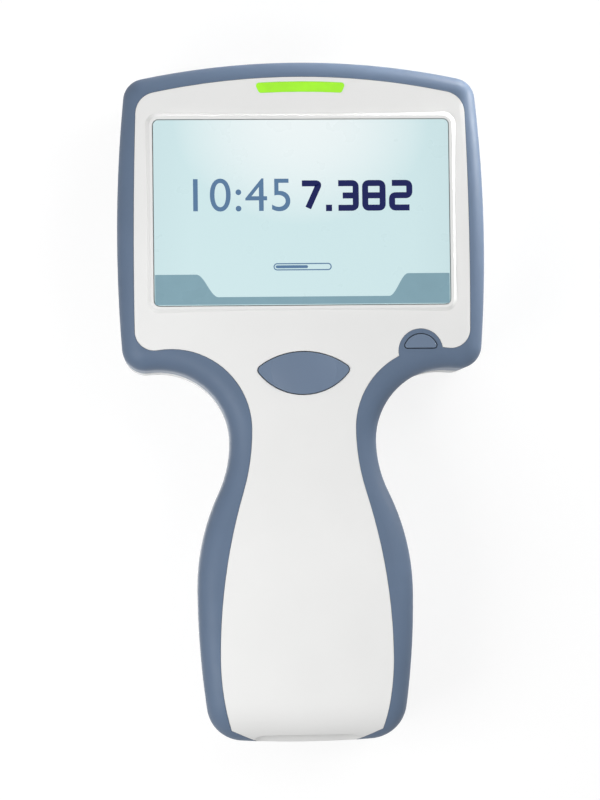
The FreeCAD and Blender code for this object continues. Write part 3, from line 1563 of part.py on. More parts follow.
def make_carriage_parts():
    """Cam carriage and what its ramps press down on the cartridge."""
    cheek_low_y = cheek_y - cheek_length
    plate_high_z = carriage_plate_z + carriage_plate
    cheek_out = rail_x + cheek_half_width
    cheek_in = rail_x - cheek_half_width
    pieces = [
        slab(cheek_out, cheek_low_y, cheek_y, carriage_plate_z, plate_high_z),
        slab(carriage_nose_half_width, carriage_low_y, cheek_y, carriage_plate_z, plate_high_z),
        box(cheek_in, cheek_out, cheek_low_y, cheek_y, chassis_top_z + cheek_foot_clear, plate_high_z),
        box(-cheek_out, -cheek_in, cheek_low_y, cheek_y, rail_z - cheek_half_width, plate_high_z),
    ]
    ramp_z = follower_top_z + follower_gap
    wing_x = (connector_wing_inner + connector_wing_half_width) / 2
    wing_half = (connector_wing_half_width - connector_wing_inner) / 2
    followers = [
        (wing_x, wing_half, connector_y, connector_drop, connector_wing_length),
        (-wing_x, wing_half, connector_y, connector_drop, connector_wing_length),
    ]
    for x, y in plunger_places():
        followers.append((x, strip_half_width, y, plunger_drop, 2 * plunger_head_radius))
    for x, half_x, y, drop, length in followers:
        slope = drop / carriage_travel
        low = y - carriage_travel - length / 2
        high = y + (carriage_plate_z - ramp_z) / slope
        pieces.append(slope_block(half_x, x, y, slope, ramp_z, low, high, carriage_plate_z))
    carriage = pieces[0]
    for piece in pieces[1:]:
        carriage = carriage.fuse(piece)
    cutters = [axle(rail_x, drive_z, drive_screw_radius + running_gap, cheek_low_y, cheek_y)]
    for side in (-1, 1):
        cutters.append(axle(side * rail_x, rail_z, rail_radius + running_gap, cheek_low_y, cheek_y))
    for cutter in cutters:
        carriage = carriage.cut(cutter)
    return {"cam_carriage": carriage, **make_connector_parts(), **make_plungers(), **make_loose_inner_parts()}


def make_connector_parts():
    """Contact block that the carriage lowers on to the cartridge."""
    block_low_z = slot_high_z + running_gap + pin_length - connector_sink
    block_high_z = block_low_z + connector_body_height
    wing_low_z = guide_top_z + connector_drop + connector_window_gap
    low_y = connector_y - connector_length / 2
    high_y = connector_y + connector_length / 2
    block = slab(connector_half_width, low_y, high_y, block_low_z, block_high_z)
    half_wing = connector_wing_length / 2
    wing = slab(
        connector_wing_half_width, connector_y - half_wing, connector_y + half_wing,
        wing_low_z, wing_low_z + 2 * connector_wing_thickness
    )
    slope = connector_drop / carriage_travel
    trim = slope_block(
        connector_wing_half_width, 0, connector_y, slope, follower_top_z,
        connector_y - connector_length, connector_y + connector_length, handle_front_z
    )
    block = block.fuse(wing).removeSplitter().cut(trim)
    pins = []
    for column in range(pin_columns):
        for row in range(pin_rows):
            x = (column - (pin_columns - 1) / 2) * pin_pitch
            y = connector_y + (row - (pin_rows - 1) / 2) * pin_row_pitch
            pins.append(post(x, y, pin_radius, block_low_z - pin_length, block_low_z))
    springs = []
    for side in (-1, 1):
        x = side * (connector_wing_half_width - return_spring_radius - return_spring_wire)
        spring_length = wing_low_z - guide_top_z - 2 * return_spring_wire
        spring = coil(return_spring_radius, return_spring_wire, spring_length, return_spring_turns)
        spring.translate(Vector(x, connector_y, guide_top_z + return_spring_wire))
        springs.append(spring)
    return {
        "connector_block": block,
        "connector_pins": group(pins),
        "connector_springs": group(springs),
    }


def make_plungers():
    """Plungers that open the calibrant pouch and squeeze the air bladder of the cartridge."""
    shapes = []
    slope = plunger_drop / carriage_travel
    for (x, y), stem_radius in zip(plunger_places(), plunger_stem_radii):
        head_low_z = follower_top_z - plunger_head_height
        stem_low_z = slot_high_z + plunger_foot_gap
        head = post(x, y, plunger_head_radius, head_low_z, follower_top_z + plunger_head_height)
        stem = post(x, y, stem_radius, stem_low_z, head_low_z)
        reach = 2 * plunger_head_radius
        trim = slope_block(reach, x, y, slope, follower_top_z, y - reach, y + reach, handle_front_z)
        shapes.append(head.fuse(stem).cut(trim))
    return {"calibrant_plunger": shapes[0], "bladder_plunger": shapes[1]}


def make_loose_inner_parts():
    """Cartridge sensor and the flat cable from the main board to the motor."""
    width, depth, height = sensor_size
    sensor_y = guide_back_y + guide_wall
    sensor = slab(width / 2, sensor_y, sensor_y + depth, chassis_top_z, chassis_top_z + height)
    start_y = top_y - board_tongue_low_from_top + flex_lap
    end_y = motor_wall_y + motor_wall_thickness + motor_length - flex_lap
    high_z = board_z - flex_thickness
    low_z = drive_z + motor_radius
    flex = drooping_strip(start_y, high_z, end_y, low_z, flex_lap, flex_thickness, flex_width, motor_x)
    return {"cartridge_sensor": sensor, "motor_flex": flex}


def main():
    os.makedirs("parts", exist_ok=True)
    nodes = {}
    for make in (
        make_shell_parts,
        make_screen_parts,
        make_button_parts,
        make_board_parts,
        make_rear_parts,
        make_port_parts,
        make_drive_parts,
        make_carriage_parts,
    ):
        nodes.update(make())
    for name, shape in nodes.items():
        shape.exportStep("parts/" + name + ".step")


main()
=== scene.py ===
"""Looks of the handheld blood analyser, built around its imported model.

Everything is in metres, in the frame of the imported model: +Z out of the screen, +Y towards the top
of the head. The analyser lies on its back on a pale floor and the camera looks down on its screen.
"""

import json
import math

import bmesh
import bpy
from mathutils import Matrix, Vector


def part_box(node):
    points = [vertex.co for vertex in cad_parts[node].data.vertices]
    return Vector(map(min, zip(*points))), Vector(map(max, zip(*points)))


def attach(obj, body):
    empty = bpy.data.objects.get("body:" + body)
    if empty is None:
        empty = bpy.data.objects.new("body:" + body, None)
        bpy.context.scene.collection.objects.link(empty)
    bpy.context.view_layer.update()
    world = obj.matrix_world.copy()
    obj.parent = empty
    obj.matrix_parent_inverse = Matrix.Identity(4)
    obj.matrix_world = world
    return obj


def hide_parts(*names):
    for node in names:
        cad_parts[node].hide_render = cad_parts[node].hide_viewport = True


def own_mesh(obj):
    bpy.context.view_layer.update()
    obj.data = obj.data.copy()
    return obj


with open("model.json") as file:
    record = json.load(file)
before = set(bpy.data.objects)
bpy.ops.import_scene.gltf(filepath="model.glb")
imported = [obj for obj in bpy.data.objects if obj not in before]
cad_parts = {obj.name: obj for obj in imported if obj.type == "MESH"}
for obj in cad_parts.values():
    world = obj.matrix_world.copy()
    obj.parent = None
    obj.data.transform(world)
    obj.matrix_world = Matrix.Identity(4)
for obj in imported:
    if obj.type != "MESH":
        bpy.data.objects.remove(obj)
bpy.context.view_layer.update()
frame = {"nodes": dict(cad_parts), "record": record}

MM = 0.001
MAIN_BODY = "analyser"

# Camera, from the fit of the photograph
PHOTO_WIDTH = 600
PHOTO_HEIGHT = 800
PIXELS_PER_METRE = 2412.5
CAMERA_DISTANCE = 1.0
CAMERA_TARGET = Vector((0, 0, 0.050))
CAMERA_PITCH_DEG = -2.19
CAMERA_YAW_DEG = 3.0
CAMERA_ROLL_DEG = 0.58
FRAME_OFFSET = Vector((1.33 * MM, -0.33 * MM, 0))
SENSOR_WIDTH = 36.0

# Light: the world's level, the floor, and lamps with place, target, size, brightness and spread
SIDE_LIGHT = 0.30
TOP_LIGHT = 0.41
FLOOR_SIZE = 6.0
FLOOR_ALBEDO = 0.30
FLOOR_GLOW = 0.74
OPEN_SPREAD_DEG = 180.0
NARROW_SPREAD_DEG = 50.0
LAMPS = {
    "key_lamp": ((0.55, 0.40, 0.90), (0, 0, 0.05), 0.5, 0.14, OPEN_SPREAD_DEG),
    "fill_lamp": ((-0.32, -0.17, 0.42), (0, -0.08, 0.04), 0.3, 0.46, OPEN_SPREAD_DEG),
    "head_lamp": ((0.45, 0.26, 0.030), (0.06, 0.11, 0.045), 0.10, 0.10, NARROW_SPREAD_DEG),
    "top_lamp": ((0.28, 0.55, 0.030), (0.03, 0.14, 0.045), 0.10, 0.10, NARROW_SPREAD_DEG),
    "low_lamp": ((-0.20, -0.10, -0.90), (0, 0, 0.03), 0.6, 0.70, OPEN_SPREAD_DEG),
}

# Materials: how noise is stretched to the full range, how sharp edges are found, and real sizes
NOISE_LOW = 0.3
NOISE_HIGH = 0.7
BEVEL_SAMPLES = 4
EDGE_FLAT_COSINE = 0.995
EDGE_SHARP_COSINE = 0.90
MOTTLE_SIZE = 18 * MM
WAVE_SIZE = 26 * MM
WAVE_DEPTH = 0.03 * MM
TRACK_PITCH = 6 * MM
TRACK_GAP_SHARE = 0.05
TRACK_LENGTH_SHARE = 0.9
TRACK_ROW_SHARE = 0.25
PAD_PITCH = 2.6 * MM
THREAD_PITCH = 0.9 * MM

# Lit surfaces: the share of a colour that is painted, and the strength of the glow that makes up the rest
LIT_SHARE = 0.5
SCREEN_GLOW = 1.0
GLOW_REACH_ACROSS = 1.15
GLOW_REACH_DOWN = 1.75
RIM_START = 0.75
RIM_AMOUNT = 0.5
PIXEL_SIZE = 0.35 * MM
PIXEL_AMOUNT = 0.012
COVER_GLASS_ROUGHNESS = 0.04

# Picture on the screen, as shares of the glass
TAB_TOP_SHARE = 0.166
TAB_FLAT_SHARE = 0.044
LEFT_TAB_SHARES = (0.141, 0.215)
RIGHT_TAB_SHARES = (0.792, 0.858)
TAB_CURVE_STEPS = 24
INK_THICKNESS = 0.03 * MM
INK_GAP = 0.01 * MM
SCREEN_MARGIN = 0.25 * MM
DIGIT_HEIGHT_SHARE = 0.178
DIGIT_BASE_SHARE = 0.505
CLOCK_MIDDLE_SHARE = 0.297
READING_MIDDLE_SHARE = 0.683
READING_WIDTH_SHARE = 0.385
READING_HEIGHT_SHARE = 0.166
READING_STROKE = 2.5 * MM
READING_GAP = 1.4 * MM
FIGURE_CORNER = 1.6 * MM
FIGURE_CORNER_STEPS = 6
PROGRESS_MIDDLE_SHARES = (0.5, 0.205)
PROGRESS_LENGTH = 24.0 * MM
PROGRESS_HEIGHT = 3.0 * MM
PROGRESS_LINE = 0.45 * MM
PROGRESS_DONE_SHARE = 0.6
ROUND_STEPS = 16

# Bold figures: each is a set of strokes through points in shares of its width and height
FIGURES = {
    ".": [((0, -0.13), (0, 0.13))],
    "2": [((0, 1), (1, 1), (1, 0.5), (0, 0.5), (0, 0), (1, 0))],
    "3": [((0, 1), (1, 1), (1, 0), (0, 0)), ((0.25, 0.5), (0.83, 0.5))],
    "7": [((0, 1), (1, 1), (0.35, 0))],
    "8": [((0.5, 1), (1, 1), (1, 0), (0, 0), (0, 1), (0.5, 1)), ((0.17, 0.5), (0.83, 0.5))],
}

# Cloth behind the speaker grille
CLOTH_RADIUS = 7.7 * MM
CLOTH_THICKNESS = 0.15 * MM
CLOTH_CROWN = 0.25 * MM
CLOTH_RINGS = 6

# Nodes of rubber domes and springs that get pieces of their own, with the joint that presses on them
SOFT_NODES = {
    "scan_button_dome": "scan_button_press",
    "power_button_dome": "power_button_press",
    "connector_springs": "connector_drop",
}


def linear(red, green, blue):
    """Shader colour from the 0 to 255 values of a picture, by the standard curve of screens."""
    shares = [value / 255 for value in (red, green, blue)]
    return tuple(s / 12.92 if s <= 0.04045 else ((s + 0.055) / 1.055) ** 2.4 for s in shares) + (1.0,)


def scaled(colour, factor):
    """A colour made lighter or darker."""
    return tuple(min(1.0, value * factor) for value in colour[:3]) + (1.0,)


class Surface:
    """A node material that is put together layer by layer."""

    def __init__(self, name, **sockets):
        self.material = bpy.data.materials.new(name)
        self.material.use_nodes = True
        tree = self.material.node_tree
        self.nodes = tree.nodes
        self.links = tree.links
        self.shader = next(n for n in tree.nodes if n.type == "BSDF_PRINCIPLED")
        self.place = self.nodes.new("ShaderNodeTexCoord").outputs["Object"]
        self.set(**sockets)

    def set(self, **sockets):
        """Sets numbers and colours on the shader; an underscore in a name stands for a space."""
        for name, value in sockets.items():
            self.shader.inputs[name.replace("_", " ")].default_value = value

    def noise(self, size, stretch=(1, 1, 1), detail=2.0):
        """Noise between 0 and 1 with features of a real size, drawn out along the axes by stretch."""
        mapping = self.nodes.new("ShaderNodeMapping")
        mapping.inputs["Scale"].default_value = [1 / (size * s) for s in stretch]
        self.links.new(self.place, mapping.inputs["Vector"])
        texture = self.nodes.new("ShaderNodeTexNoise")
        texture.inputs["Scale"].default_value = 1.0
        texture.inputs["Detail"].default_value = detail
        self.links.new(mapping.outputs["Vector"], texture.inputs["Vector"])
        return texture.outputs[0]

    def remap(self, value, low_in, high_in, low_out, high_out):
        """The value, moved from one range to another and kept inside it."""
        node = self.nodes.new("ShaderNodeMapRange")
        node.inputs["From Min"].default_value = low_in
        node.inputs["From Max"].default_value = high_in
        node.inputs["To Min"].default_value = low_out
        node.inputs["To Max"].default_value = high_out
        self.links.new(value, node.inputs["Value"])
        return node.outputs["Result"]

    def mix(self, factor, first, second):
        """Colour between two colours, each a value or the output of a node."""
        node = self.nodes.new("ShaderNodeMix")
        node.data_type = "RGBA"
        self.links.new(factor, node.inputs[0])
        for colour, socket in ((first, node.inputs[6]), (second, node.inputs[7])):
            if isinstance(colour, tuple):
                socket.default_value = colour
            else:
                self.links.new(colour, socket)
        return node.outputs[2]

    def maths(self, operation, first, second=0.0):
        """Result of a sum on values, each a number or the output of a node."""
        node = self.nodes.new("ShaderNodeMath")
        node.operation = operation
        for value, socket in ((first, node.inputs[0]), (second, node.inputs[1])):
            if isinstance(value, (int, float)):
                socket.default_value = value
            else:
                self.links.new(value, socket)
        return node.outputs[0]

    def mottled(self, colour, size, amount):
        """Colour that drifts a little lighter and darker over patches of a real size."""
        factor = self.remap(self.noise(size, detail=3.0), NOISE_LOW, NOISE_HIGH, 0, 1)
        return self.mix(factor, scaled(colour, 1 - amount), scaled(colour, 1 + amount))

    def edges(self, radius):
        """1 along sharp edges and 0 away from them."""
        bevel = self.nodes.new("ShaderNodeBevel")
        bevel.samples = BEVEL_SAMPLES
        bevel.inputs["Radius"].default_value = radius
        flat = self.nodes.new("ShaderNodeNewGeometry")
        dot = self.nodes.new("ShaderNodeVectorMath")
        dot.operation = "DOT_PRODUCT"
        self.links.new(bevel.outputs["Normal"], dot.inputs[0])
        self.links.new(flat.outputs["Normal"], dot.inputs[1])
        return self.remap(dot.outputs["Value"], EDGE_FLAT_COSINE, EDGE_SHARP_COSINE, 0, 1)

    def worn(self, colour, worn_colour, radius=0.5 * MM, patch=6 * MM, amount=0.6):
        """Colour that is rubbed lighter along the edges, more in some places than in others."""
        patches = self.remap(self.noise(patch), 0.35, 0.65, 0, amount)
        return self.mix(self.maths("MULTIPLY", self.edges(radius), patches), colour, worn_colour)

    def colour(self, value):
        """Sets the colour to the output of a node."""
        self.links.new(value, self.shader.inputs["Base Color"])

    def roughness(self, middle, spread, size):
        """Roughness that changes a little over patches of a real size."""
        noise = self.noise(size, detail=4.0)
        value = self.remap(noise, NOISE_LOW, NOISE_HIGH, middle - spread, middle + spread)
        self.links.new(value, self.shader.inputs["Roughness"])

    def bump(self, *layers, rounding=0.0):
        """Fine relief: each layer is a height from 0 to 1 and its real depth; sharp edges look rounded."""
        normal = None
        if rounding:
            bevel = self.nodes.new("ShaderNodeBevel")
            bevel.samples = BEVEL_SAMPLES
            bevel.inputs["Radius"].default_value = rounding
            normal = bevel.outputs["Normal"]
        for height, depth in layers:
            node = self.nodes.new("ShaderNodeBump")
            node.inputs["Distance"].default_value = depth
            self.links.new(height, node.inputs["Height"])
            if normal is not None:
                self.links.new(normal, node.inputs["Normal"])
            normal = node.outputs["Normal"]
        self.links.new(normal, self.shader.inputs["Normal"])


def moulded(name, colour, worn=None, grain=0.22 * MM, depth=0.004 * MM, rough=0.45, spread=0.05,
            rounding=0.25 * MM, mottle=0.015, **sockets):
    """Injection-moulded plastic with a fine spark-eroded grain."""
    surface = Surface(name, **sockets)
    base = surface.mottled(colour, MOTTLE_SIZE, mottle)
    if worn:
        base = surface.worn(base, worn)
    surface.colour(base)
    surface.roughness(rough, spread, 7 * MM)
    fine = surface.noise(grain, detail=1.0)
    waves = surface.noise(WAVE_SIZE, detail=0.0)
    surface.bump((waves, WAVE_DEPTH), (fine, depth), rounding=rounding)
    return surface.material


def rubber(name, colour, rough=0.75):
    """Soft rubber: dull, with a dusty bloom and a coarse grain."""
    surface = Surface(name, Specular_IOR_Level=0.35)
    bloom = surface.remap(surface.noise(3 * MM, detail=4.0), 0.45, 0.75, 0, 1)
    surface.colour(surface.mix(bloom, colour, scaled(colour, 1.5)))
    surface.roughness(rough, 0.08, 2 * MM)
    surface.bump((surface.noise(0.3 * MM), 0.012 * MM), rounding=0.2 * MM)
    return surface.material


def metal(name, colour, rough=0.3, brushed=(1, 1, 1), stroke=0.12 * MM):
    """Bare or plated metal with fine tool marks drawn out along one axis, and a faint tarnish."""
    surface = Surface(name, Metallic=1.0)
    tarnish = surface.remap(surface.noise(4 * MM, detail=3.0), 0.4, 0.7, 0, 1)
    surface.colour(surface.mix(tarnish, colour, scaled(colour, 0.86)))
    surface.roughness(rough, 0.08, 1.5 * MM)
    surface.bump((surface.noise(stroke, stretch=brushed), 0.003 * MM), rounding=0.1 * MM)
    return surface.material


def circuit_board(name, colour):
    """Green solder mask over copper runs, with pale pads here and there."""
    surface = Surface(name, Coat_Weight=0.4, Coat_Roughness=0.25)
    runs = surface.nodes.new("ShaderNodeTexBrick")
    runs.offset = 0.5
    runs.inputs["Scale"].default_value = 1 / TRACK_PITCH
    runs.inputs["Mortar Size"].default_value = TRACK_GAP_SHARE
    runs.inputs["Brick Width"].default_value = TRACK_LENGTH_SHARE
    runs.inputs["Row Height"].default_value = TRACK_ROW_SHARE
    surface.links.new(surface.place, runs.inputs["Vector"])
    base = surface.mix(runs.outputs["Fac"], colour, scaled(colour, 1.7))
    pads = surface.nodes.new("ShaderNodeTexVoronoi")
    pads.inputs["Scale"].default_value = 1 / PAD_PITCH
    surface.links.new(surface.place, pads.inputs["Vector"])
    spots = surface.remap(pads.outputs["Distance"], 0.12, 0.10, 0, 1)
    surface.colour(surface.mix(spots, base, linear(196, 188, 160)))
    surface.roughness(0.4, 0.06, 3 * MM)
    surface.bump((runs.outputs["Fac"], 0.03 * MM))
    return surface.material


def clear(name, colour, rough, **sockets):
    """Polished glass or lens."""
    surface = Surface(name, **sockets)
    surface.colour(surface.mottled(colour, 5 * MM, 0.02))
    surface.roughness(rough, rough / 3, 3 * MM)
    surface.bump((surface.noise(30 * MM), 0.004 * MM))
    return surface.material


def glowing(name, colour, rough=0.35, **sockets):
    """Frosted plastic with light behind it: brighter in patches where the light sources sit."""
    surface = Surface(name, Emission_Strength=SCREEN_GLOW, **sockets)
    base = surface.mottled(scaled(colour, LIT_SHARE), 6 * MM, 0.05)
    surface.colour(base)
    surface.links.new(base, surface.shader.inputs["Emission Color"])
    surface.roughness(rough, 0.05, 2 * MM)
    surface.bump((surface.noise(0.4 * MM), 0.006 * MM), rounding=0.2 * MM)
    return surface.material


def screen(name, low, high, *colours):
    """Lit screen under its cover glass: pale, with a soft glow at the middle of the top edge."""
    base_colour, glow_colour, edge_colour = [scaled(colour, LIT_SHARE) for colour in colours]
    surface = Surface(name, Emission_Strength=SCREEN_GLOW, Coat_Weight=0.6,
                      Coat_Roughness=COVER_GLASS_ROUGHNESS)
    split = surface.nodes.new("ShaderNodeSeparateXYZ")
    surface.links.new(surface.place, split.inputs["Vector"])
    middle_x = (low.x + high.x) / 2
    half_width = (high.x - low.x) / 2
    across = surface.maths("DIVIDE", surface.maths("SUBTRACT", split.outputs["X"], middle_x), half_width)
    down = surface.maths("DIVIDE", surface.maths("SUBTRACT", high.y, split.outputs["Y"]), high.y - low.y)
    aside = surface.maths("ABSOLUTE", across)
    reach_x = surface.maths("POWER", surface.maths("MULTIPLY", aside, GLOW_REACH_ACROSS), 2.0)
    reach_y = surface.maths("POWER", surface.maths("MULTIPLY", down, GLOW_REACH_DOWN), 2.0)
    glow = surface.remap(surface.maths("ADD", reach_x, reach_y), 0.0, 1.0, 1.0, 0.0)
    rim = surface.remap(aside, RIM_START, 1.0, 0.0, RIM_AMOUNT)
    pixels = surface.noise(PIXEL_SIZE, detail=0.0)
    grain = surface.remap(pixels, NOISE_LOW, NOISE_HIGH, 0.0, PIXEL_AMOUNT)
    base = surface.mix(rim, base_colour, edge_colour)
    base = surface.mix(grain, surface.mix(glow, base, glow_colour), scaled(base_colour, 0.8))
    surface.colour(base)
    surface.links.new(base, surface.shader.inputs["Emission Color"])
    surface.roughness(0.3, 0.04, 12 * MM)
    surface.bump((surface.noise(60 * MM, detail=0.0), 0.01 * MM))
    return surface.material


def ink(name, colour):
    """Part of the picture on the screen."""
    surface = Surface(name, Emission_Strength=SCREEN_GLOW, Specular_IOR_Level=0.2, Coat_Weight=0.1)
    base = surface.mottled(scaled(colour, LIT_SHARE), 9 * MM, 0.03)
    surface.colour(base)
    surface.links.new(base, surface.shader.inputs["Emission Color"])
    surface.roughness(0.3, 0.04, 12 * MM)
    surface.bump((surface.noise(PIXEL_SIZE, detail=0.0), 0.001 * MM))
    return surface.material


def woven(name, colour):
    """Fine black dust cloth of a loudspeaker."""
    surface = Surface(name, Sheen_Weight=0.3, Specular_IOR_Level=0.3)
    threads = []
    for axis in ("X", "Y"):
        wave = surface.nodes.new("ShaderNodeTexWave")
        wave.bands_direction = axis
        wave.inputs["Scale"].default_value = 1 / THREAD_PITCH
        wave.inputs["Distortion"].default_value = 0.3
        surface.links.new(surface.place, wave.inputs["Vector"])
        threads.append(wave.outputs["Fac"])
    weave = surface.maths("MULTIPLY", threads[0], threads[1])
    surface.colour(surface.mix(weave, colour, scaled(colour, 2.5)))
    surface.roughness(0.8, 0.05, 1 * MM)
    surface.bump((weave, 0.05 * MM))
    return surface.material


def make_finishes():
    """One material for each material slot of the record."""
    glass_low, glass_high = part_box("touch_glass")
    white = linear(236, 236, 235)
    blue = linear(94, 112, 136)
    grey = linear(206, 208, 209)
    return {
        "white_shell": moulded("white_shell", white, rough=0.36, Specular_IOR_Level=0.35, mottle=0.008),
        "grip_blue": moulded("grip_blue", blue, linear(134, 146, 164), rough=0.5, Specular_IOR_Level=0.35,
                             grain=0.3 * MM, depth=0.01 * MM, mottle=0.03, rounding=0.4 * MM),
        "rear_grey": moulded("rear_grey", grey, linear(226, 227, 227), rough=0.48, Specular_IOR_Level=0.35,
                             grain=0.35 * MM, depth=0.014 * MM),
        "seal_black": rubber("seal_black", linear(38, 39, 40)),
        "foot_rubber": rubber("foot_rubber", linear(62, 65, 68)),
        "steel": metal("steel", linear(196, 196, 198), rough=0.28, brushed=(1, 1, 12)),
        "gold_contact": metal("gold_contact", linear(232, 196, 112), rough=0.2, brushed=(12, 1, 1)),
        "touch_glass": screen("touch_glass", glass_low, glass_high, linear(205, 231, 234),
                              linear(238, 247, 248), linear(196, 222, 226)),
        "foam": rubber("foam", linear(48, 48, 48), rough=0.9),
        "display": clear("display", linear(190, 212, 216), rough=0.2, Coat_Weight=0.5),
        "display_back": moulded("display_back", linear(222, 222, 220), rough=0.4),
        "tray_metal": metal("tray_metal", linear(200, 202, 204), rough=0.35, brushed=(20, 1, 1)),
        "light_green": glowing("light_green", linear(162, 244, 20), Coat_Weight=0.2),
        "board_green": circuit_board("board_green", linear(26, 92, 58)),
        "led_white": glowing("led_white", linear(236, 240, 210)),
        "button_blue": moulded("button_blue", linear(104, 122, 146), linear(132, 146, 164), rough=0.36,
                               Specular_IOR_Level=0.45, mottle=0.02, rounding=0.3 * MM),
        "switch_black": moulded("switch_black", linear(40, 40, 41), rough=0.4),
        "dome_rubber": rubber("dome_rubber", linear(214, 213, 208), rough=0.6),
        "shield_tin": metal("shield_tin", linear(206, 207, 209), rough=0.25),
        "ribbon_amber": moulded("ribbon_amber", linear(196, 126, 40), rough=0.3, mottle=0.06,
                                Coat_Weight=0.3),
        "window_dark": clear("window_dark", linear(34, 10, 14), rough=0.06, Coat_Weight=1.0),
        "lens_glass": clear("lens_glass", linear(60, 70, 120), rough=0.05, Transmission_Weight=0.6,
                            Coat_Weight=1.0),
        "battery_grey": moulded("battery_grey", linear(190, 193, 195), linear(214, 215, 216), rough=0.5,
                                Specular_IOR_Level=0.35, grain=0.35 * MM, depth=0.012 * MM),
        "cell_wrap": moulded("cell_wrap", linear(84, 150, 178), rough=0.25, Coat_Weight=0.4, mottle=0.04),
        "latch_blue": moulded("latch_blue", linear(92, 105, 124), linear(130, 142, 158), rough=0.45,
                              mottle=0.03),
        "speaker_black": moulded("speaker_black", linear(36, 36, 37), rough=0.6),
        "port_grey": moulded("port_grey", linear(116, 122, 128), linear(150, 155, 160), rough=0.42,
                             mottle=0.02),
        "guide_white": moulded("guide_white", linear(214, 214, 208), rough=0.35, mottle=0.02),
        "chassis_black": moulded("chassis_black", linear(56, 57, 59), linear(90, 91, 94), rough=0.5),
        "motor_can": metal("motor_can", linear(200, 200, 202), rough=0.3, brushed=(1, 14, 1)),
        "gear_white": moulded("gear_white", linear(232, 230, 214), rough=0.32, mottle=0.02),
        "carriage_grey": moulded("carriage_grey", linear(92, 94, 98), linear(120, 122, 126), rough=0.42),
    }


def dress_nodes(finishes):
    """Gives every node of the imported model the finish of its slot."""
    for row in frame["record"]["subparts"]:
        data = frame["nodes"][row["node"]].data
        data.materials.clear()
        data.materials.append(finishes[row["material_slot"]])


def new_piece(name, mesh, material):
    """Object of the analyser that rides on its main body, with the given material."""
    piece = bpy.data.objects.new(name, mesh)
    bpy.context.scene.collection.objects.link(piece)
    mesh.materials.clear()
    mesh.materials.append(material)
    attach(piece, MAIN_BODY)
    return piece


def plate_mesh(name, outline, low_z, thickness, hole=None):
    """Thin plate with a given outline and, if wanted, a hole with as many points as the outline."""
    mesh = bpy.data.meshes.new(name)
    work = bmesh.new()
    rings = [outline] + ([hole] if hole else [])
    faces = []
    loops = [[work.verts.new((x, y, low_z)) for x, y in ring] for ring in rings]
    if hole:
        count = len(outline)
        for i in range(count):
            k = (i + 1) % count
            faces.append(work.faces.new((loops[0][i], loops[0][k], loops[1][k], loops[1][i])))
    else:
        faces.append(work.faces.new(loops[0]))
    grown = bmesh.ops.extrude_face_region(work, geom=faces)
    lifted = [item for item in grown["geom"] if isinstance(item, bmesh.types.BMVert)]
    bmesh.ops.translate(work, verts=lifted, vec=(0, 0, thickness))
    bmesh.ops.recalc_face_normals(work, faces=work.faces)
    work.to_mesh(mesh)
    work.free()
    return mesh


def pill_outline(centre, length, height):
    """Outline of a bar with round ends."""
    radius = height / 2
    points = []
    for side, start in ((1, -math.pi / 2), (-1, math.pi / 2)):
        for step in range(ROUND_STEPS + 1):
            turn = start + math.pi * step / ROUND_STEPS
            x = centre[0] + side * (length / 2 - radius) + radius * math.cos(turn)
            points.append((x, centre[1] + radius * math.sin(turn)))
    return points


class Screen:
    """The face of the glass, measured in shares of its width and height."""

    def __init__(self):
        self.low, self.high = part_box("touch_glass")
        self.width = self.high.x - self.low.x
        self.height = self.high.y - self.low.y
        self.ink_z = self.high.z + INK_GAP

    def x(self, share):
        """Place across the glass, from its left edge."""
        return self.low.x + self.width * share

    def y(self, share):
        """Place up the glass, from its lower edge."""
        return self.low.y + self.height * share


def make_footer(face, material):
    """Coloured foot of the picture, which rises to a tab in each corner."""
    left_x = face.low.x + SCREEN_MARGIN
    right_x = face.high.x - SCREEN_MARGIN
    low_y = face.low.y + SCREEN_MARGIN
    top_y = face.y(TAB_TOP_SHARE)
    drop = face.height * (TAB_TOP_SHARE - TAB_FLAT_SHARE)
    outline = [(right_x, low_y), (right_x, top_y)]
    for shares, falling in ((RIGHT_TAB_SHARES, True), (LEFT_TAB_SHARES, False)):
        for step in range(TAB_CURVE_STEPS + 1):
            part = step / TAB_CURVE_STEPS
            x = face.x(shares[1] + (shares[0] - shares[1]) * part)
            fall = (1 - math.cos(math.pi * part)) / 2
            outline.append((x, top_y - drop * (fall if falling else 1 - fall)))
    outline += [(left_x, top_y), (left_x, low_y)]
    mesh = plate_mesh("screen_footer", outline, face.ink_z, INK_THICKNESS)
    new_piece("screen_footer", mesh, material)


def make_clock(face, digits, material):
    """The time on the screen, in light upright figures."""
    height = face.height * DIGIT_HEIGHT_SHARE
    curve = bpy.data.curves.new("clock_line", "FONT")
    curve.body = digits
    curve.size = 1.0
    curve.space_character = 1.05
    curve.resolution_u = 8
    holder = bpy.data.objects.new("clock_line", curve)
    bpy.context.scene.collection.objects.link(holder)
    depsgraph = bpy.context.evaluated_depsgraph_get()
    mesh = bpy.data.meshes.new_from_object(holder.evaluated_get(depsgraph))
    bpy.data.objects.remove(holder)
    lows = [min(v.co[axis] for v in mesh.vertices) for axis in range(2)]
    highs = [max(v.co[axis] for v in mesh.vertices) for axis in range(2)]
    scale = height / (highs[1] - lows[1])
    middle = Vector(((lows[0] + highs[0]) / 2, lows[1], 0))
    target = Vector((face.x(CLOCK_MIDDLE_SHARE), face.y(DIGIT_BASE_SHARE), face.ink_z))
    mesh.transform(Matrix.Translation(target) @ Matrix.Scale(scale, 4) @ Matrix.Translation(-middle))
    thicken(mesh, INK_THICKNESS)
    new_piece("clock_digits", mesh, material)


